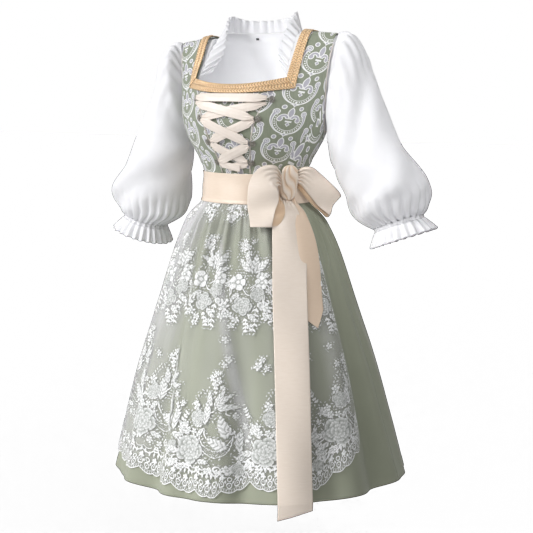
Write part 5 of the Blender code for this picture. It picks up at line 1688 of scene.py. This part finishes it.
LOOP_LEFT_HAND = table(
    "angle height lift half_width slant tilt",
    (67.4, -0.3210, 0.0170, 0.0140, 90.0, 0.000),
    (71.5, -0.3190, 0.0230, 0.0210, 90.0, 0.002),
    (78.0, -0.3300, 0.0310, 0.0280, 90.0, 0.009),
    (86.0, -0.3530, 0.0440, 0.0310, 90.0, 0.016),
    (92.0, -0.3770, 0.0540, 0.0285, 90.0, 0.023),
    (95.0, -0.3880, 0.0560, 0.0240, 90.0, 0.027),
    (95.5, -0.3930, 0.0510, 0.0230, 90.0, 0.026),
    (94.0, -0.3910, 0.0450, 0.0230, 90.0, 0.022),
    (88.0, -0.3700, 0.0350, 0.0260, 90.0, 0.014),
    (80.0, -0.3500, 0.0250, 0.0240, 90.0, 0.008),
    (74.0, -0.3390, 0.0170, 0.0180, 90.0, 0.002),
    (69.5, -0.3340, 0.0130, 0.0110, 90.0, 0.000),
)
TAIL_LONG = table(
    "angle height lift half_width",
    (52.2, -0.3685, 0.0044, 0.0083),
    (52.4, -0.3820, 0.0092, 0.0180),
    (50.5, -0.4050, 0.0105, 0.0275),
    (48.0, -0.4420, 0.0103, 0.0340),
    (45.0, -0.5000, 0.0100, 0.0370),
    (42.0, -0.5800, 0.0100, 0.0375),
    (39.7, -0.6700, 0.0100, 0.0375),
    (38.0, -0.7600, 0.0100, 0.0375),
    (37.0, -0.8650, 0.0100, 0.0375),
    (36.3, -0.9700, 0.0100, 0.0375),
    (35.8, -1.0510, 0.0100, 0.0375),
)
TAIL_LONG_END = (0.019, 0.013, 0.006, 0.000)
TAIL_SHORT = table(
    "angle height lift half_width",
    (63.2, -0.3685, 0.0044, 0.0080),
    (62.4, -0.3850, 0.0066, 0.0150),
    (60.5, -0.4100, 0.0080, 0.0230),
    (58.5, -0.4600, 0.0084, 0.0310),
    (56.0, -0.5200, 0.0078, 0.0330),
    (53.5, -0.5800, 0.0060, 0.0340),
    (52.0, -0.6200, 0.0060, 0.0340),
)
TAIL_SHORT_END = (0.000, 0.018, 0.040, 0.000)
GRIPPED_ROWS = 2.6          # rows of a table over which the knot draws the ribbon into pleats
NO_TURN = 99.0              # a row past the end of every table

satin = Finish(
    "champagne_satin", Roughness=0.30, Sheen_Weight=0.35, Sheen_Roughness=0.3, Specular_IOR_Level=0.6
)
slub = satin.noise(60.0, 3.0, (1.0, 1.0, 6.0))
unshaded_satin = satin.blend(slub, (0.79, 0.68, 0.58, 1), (0.86, 0.76, 0.67, 1))
# The inner field darkens the satin towards a dark gold: painted shade inside the loops, in the hollows of
# the pleats and the knot, on the short end and on the band.
satin.give(Base_Color=satin.blend(satin.field("inner"), unshaded_satin, (0.70, 0.46, 0.26, 1)))
satin.bump(weave(satin, 1500.0) * 0.10 + slub * 0.5, 0.0006, 0.4)


def satin_panel(node, points, thick, inner, ring=False):
    """Champagne satin; inner says how far each point's colour is darkened towards a dark gold: painted
    shade.
    """
    fields = {"inner": inner}
    return panel(f"{node}_satin", points, satin, [node], thick, ring=ring, fields=fields)


angle = np.linspace(0.0, 2 * math.pi, 361)[:-1][None, :]
height = np.linspace(SASH_BOTTOM, SASH_TOP, 34)[:, None]
up = (height - SASH_BOTTOM) / (SASH_TOP - SASH_BOTTOM)
near_knot = np.exp(-(((angle - KNOT_ANGLE) / 0.30) ** 2))
creases = 0.0011 * near_knot * np.sin(5.0 * math.pi * up + 2.0 * (angle - KNOT_ANGLE))
creases = creases + 0.0007 * np.sin(2.2 * math.pi * up + 2.0 * np.sin(2.0 * angle)) * np.sin(math.pi * up)
fold = 0.0007 * ease((0.10 - up) / 0.02) - 0.0003 * np.exp(-(((up - 0.115) / 0.02) ** 2))
points = over_skirt(angle, height, SASH_LIFT + creases + fold)
# The whole band is darkened a quarter of the way towards the dark gold: painted shade.
band = satin_panel("sash_band", points, SASH_THICK, 0.25, ring=True)


def beside_body(angle, height, lift=0.0):
    """Points off the body at the height given, moved level: where the loops of the bow stand."""
    step = over_skirt(angle + ANGLE_STEP, height) - over_skirt(angle - ANGLE_STEP, height)
    out = np.stack([step[..., 1], -step[..., 0]], axis=-1)
    out /= np.linalg.norm(out, axis=-1, keepdims=True)
    points = over_skirt(angle, height)
    points[..., :2] += out * np.asarray(lift)[..., None]
    return points


def sash_ribbon(node, path, surface, pleats, waves, drops=0.0, turn=NO_TURN, least_shade=0.0):
    """Ribbon through a table of places, widths and slants, pleated where the knot grips it.

    Pleats and waves are sizes in metres and, for the pleats, how many. Drops lowers the last
    point of each column, for an end that is cut at a slant. Past the row at which a loop turns
    back, where the ribbon's other face shows, and in the hollows of its pleats, the colour is
    darkened towards a dark gold: painted shade.
    """
    last = len(path["angle"]) - 1
    loop = turn < last
    at = np.linspace(0, last, (16 if loop else 34) * last)
    place = {column: smooth(path[column], at)[:, None] for column in path}
    slant = np.radians(place.get("slant", 0.0))
    share = np.linspace(-1.0, 1.0, 37)[None, :]
    reach = place["half_width"] * share
    angle = np.radians(place["angle"])
    angles = angle + reach * (np.cos(slant) / metres_round(angle, place["height"]))
    heights = place["height"] + reach * np.sin(slant)
    drops = np.interp(share[0], (-1.0, -1 / 3, 1 / 3, 1.0), np.broadcast_to(drops, 4))
    at = at[:, None]
    heights = heights - np.maximum(at - last + 1, 0.0) * drops
    gripped = np.minimum(at, last - at) if loop else at
    narrow = ease((GRIPPED_ROWS - gripped) / GRIPPED_ROWS)
    still = 1.0 - 0.9 * np.exp(-(((at - turn) / 1.1) ** 2))
    waves = waves * still * (1.0 - narrow)
    folds = ripple(
        (pleats[0] * narrow, pleats[1] * math.pi * share + 0.6 * np.sin(at) + math.pi / 2),
        (waves, 0.9 * at + 1.4 * share),
        (0.5 * waves, 2.1 * at - 2.0 * share + 1.0),
    )
    rounded = 0.0015 * (1.0 - share**2)
    lift = place["lift"] + place.get("tilt", 0.0) * share + rounded + folds
    # Painted shade: dark gold past a loop's turn and in the hollows of the pleats.
    inner = 0.75 * ease((at - turn) / 1.2) + 0.6 * narrow * ease(-folds / pleats[0])
    made = satin_panel(node, surface(angles, heights, lift), BOW_THICK, np.clip(inner, least_shade, 1.0))


sash_ribbon("sash_loop_r", LOOP_RIGHT_HAND, beside_body, (0.0034, 5), 0.0034, turn=7.0)
sash_ribbon("sash_loop_l", LOOP_LEFT_HAND, beside_body, (0.0034, 5), 0.0028, turn=5.5)
sash_ribbon("sash_tail_long", TAIL_LONG, over_skirt, (0.0020, 4), 0.0026, TAIL_LONG_END)
# The short end is darkened at least 0.45 of the way towards the dark gold: painted shade.
sash_ribbon(
    "sash_tail_short", TAIL_SHORT, over_skirt, (0.0020, 3), 0.0012, TAIL_SHORT_END, least_shade=0.45
)

# The knot is a closed bag of tight slanting wraps: a squared oval across, full to its ends.
heights = KNOT_HEIGHT + np.array([-KNOT_REACH, 0.0, KNOT_REACH])
low, centre, high = over_skirt(KNOT_ANGLE, heights, KNOT_LIFT)
upright = (high - low) / np.linalg.norm(high - low)
out = over_skirt(KNOT_ANGLE, heights, 2 * KNOT_LIFT)[1] - centre
out -= upright * (out @ upright)
out /= np.linalg.norm(out)
level = np.cross(upright, out)
round_it = np.linspace(0.0, 2 * math.pi, 145)[:-1][None, :]
up = np.linspace(-1.0, 1.0, 64)[:, None]
swell = np.sqrt(np.clip(1.0 - np.abs(up) ** 3.4, 0.0, 1.0))
swell = swell * (0.98 - 0.14 * np.exp(-(((up + 0.15) / 0.35) ** 2)) + 0.05 * up)
bunch = np.abs(np.sin(3.0 * round_it - 2.8 * up + 0.8 * np.sin(3.0 * up + 2.0 * round_it))) ** 0.6
swell = swell * (1.10 - 0.46 * (1.0 - bunch) * (0.4 + 0.6 * swell))
across = np.sign(np.cos(round_it)) * np.abs(np.cos(round_it)) ** 0.85 * swell
deep = np.sign(np.sin(round_it)) * np.abs(np.sin(round_it)) ** 0.75 * swell
place = np.stack(np.broadcast_arrays(across, deep, up), axis=-1) * KNOT_HALF
points = (low + high) / 2 + place @ np.stack([level, out, upright])
# The hollows between the wraps are darkened towards the dark gold: painted shade.
inner = 0.9 * (1.0 - bunch) ** 0.8
knot = satin_panel("sash_knot", points[:, ::-1], None, inner[:, ::-1], ring=True)

# ------------------------------------------------------------------------------------------
# Studio: a plain white floor under the hanging set, soft light from all sides, and the camera.
# ------------------------------------------------------------------------------------------
FLOOR_LEVEL = -2.00         # well below the set, so that its shadow stays faint
FLOOR_HALF = 30.0
AMBIENT = 0.47              # light from all round; the wall behind is plain white
BRIGHT_SIDE = (-0.8, -0.6, 0.0)
BRIGHTEST, DIMMEST = 1.40, 0.50

floor_paint = Finish("white_floor", Roughness=0.9)
floor_paint.give(Base_Color=(0.90, 0.90, 0.90, 1.0))
corners = [(x * FLOOR_HALF, y * FLOOR_HALF, FLOOR_LEVEL) for x, y in ((-1, -1), (1, -1), (1, 1), (-1, 1))]
mesh = bpy.data.meshes.new("floor")
mesh.from_pydata(corners, [], [(0, 1, 2, 3)])
mesh.materials.append(floor_paint.material)
floor = bpy.data.objects.new("floor", mesh)
bpy.context.scene.collection.objects.link(floor)
floor.is_shadow_catcher = True

# The light from all round grows evenly from the dim side to the bright side, by the direction's
# share along the bright side. What the camera sees of it directly is plain white.
world = bpy.data.worlds.new("studio")
world.use_nodes = True
nodes, link = world.node_tree.nodes, world.node_tree.links.new
toward = nodes.new("ShaderNodeVectorMath")
toward.operation = "DOT_PRODUCT"
toward.inputs[1].default_value = BRIGHT_SIDE
uneven = nodes.new("ShaderNodeMapRange")
uneven.inputs["From Min"].default_value = -1.0
uneven.inputs["To Min"].default_value = DIMMEST * AMBIENT
uneven.inputs["To Max"].default_value = BRIGHTEST * AMBIENT
white = nodes.new("ShaderNodeMapRange")
white.inputs["To Max"].default_value = 1.0
backdrop = nodes["Background"]
backdrop.inputs["Color"].default_value = (1.0, 1.0, 1.0, 1.0)
link(nodes.new("ShaderNodeTexCoord").outputs["Generated"], toward.inputs[0])
link(toward.outputs["Value"], uneven.inputs["Value"])
link(uneven.outputs["Result"], white.inputs["To Min"])
link(nodes.new("ShaderNodeLightPath").outputs["Is Camera Ray"], white.inputs["Value"])
link(white.outputs["Result"], backdrop.inputs["Strength"])
bpy.context.scene.world = world
bpy.context.scene.view_settings.view_transform = "Standard"


def soft_box(name, place, size, power, target=(0.0, 0.0, -0.5), beam=180.0):
    """Square area lamp aimed at a point of the set, its beam held to an angle."""
    lamp = bpy.data.lights.new(name, "AREA")
    lamp.shape = "SQUARE"
    lamp.size = size
    lamp.energy = power
    lamp.spread = math.radians(beam)
    holder = bpy.data.objects.new(name, lamp)
    holder.location = place
    toward = Vector(target) - Vector(place)
    holder.rotation_euler = toward.to_track_quat("-Z", "Y").to_euler()
    bpy.context.scene.collection.objects.link(holder)


soft_box("key", (-1.6, -2.2, 1.3), 0.8, 55.0)
soft_box("fill", (2.4, -2.0, 0.2), 1.6, 2.0)
soft_box("sleeve", (1.0, -1.0, 0.6), 0.3, 0.55, (0.38, 0.05, -0.22), 40.0)
soft_box("other_sleeve", (0.1, -1.5, 0.2), 0.3, 0.10, (-0.36, 0.02, -0.27), 30.0)
soft_box("skirt", (-1.3, -1.9, -0.35), 0.5, 1.5, (-0.02, -0.2, -0.98), 46.0)
soft_box("rim", (0.6, 2.6, 1.4), 1.4, 10.0)
soft_box("neck", (0.0, -0.030, -0.180), 0.10, 0.17, (0.0, 0.085, -0.030))

AZIMUTH = math.radians(28.0)
ELEVATION = math.radians(8.4)
DISTANCE = 3.13
ASIDE_OF_SET = 0.02466      # the camera aims a little to the right of the body's middle
AIM = Vector((math.cos(AZIMUTH) * ASIDE_OF_SET, math.sin(AZIMUTH) * ASIDE_OF_SET, -0.54))
lens = bpy.data.cameras.new("camera")
lens.lens = 90.0
lens.sensor_width = 36.0
camera = bpy.data.objects.new("camera", lens)
away = Vector((
    math.sin(AZIMUTH) * math.cos(ELEVATION),
    -math.cos(AZIMUTH) * math.cos(ELEVATION),
    math.sin(ELEVATION),
))
camera.location = AIM + DISTANCE * away
camera.rotation_euler = away.to_track_quat("Z", "Y").to_euler()
bpy.context.scene.collection.objects.link(camera)
bpy.context.scene.camera = camera
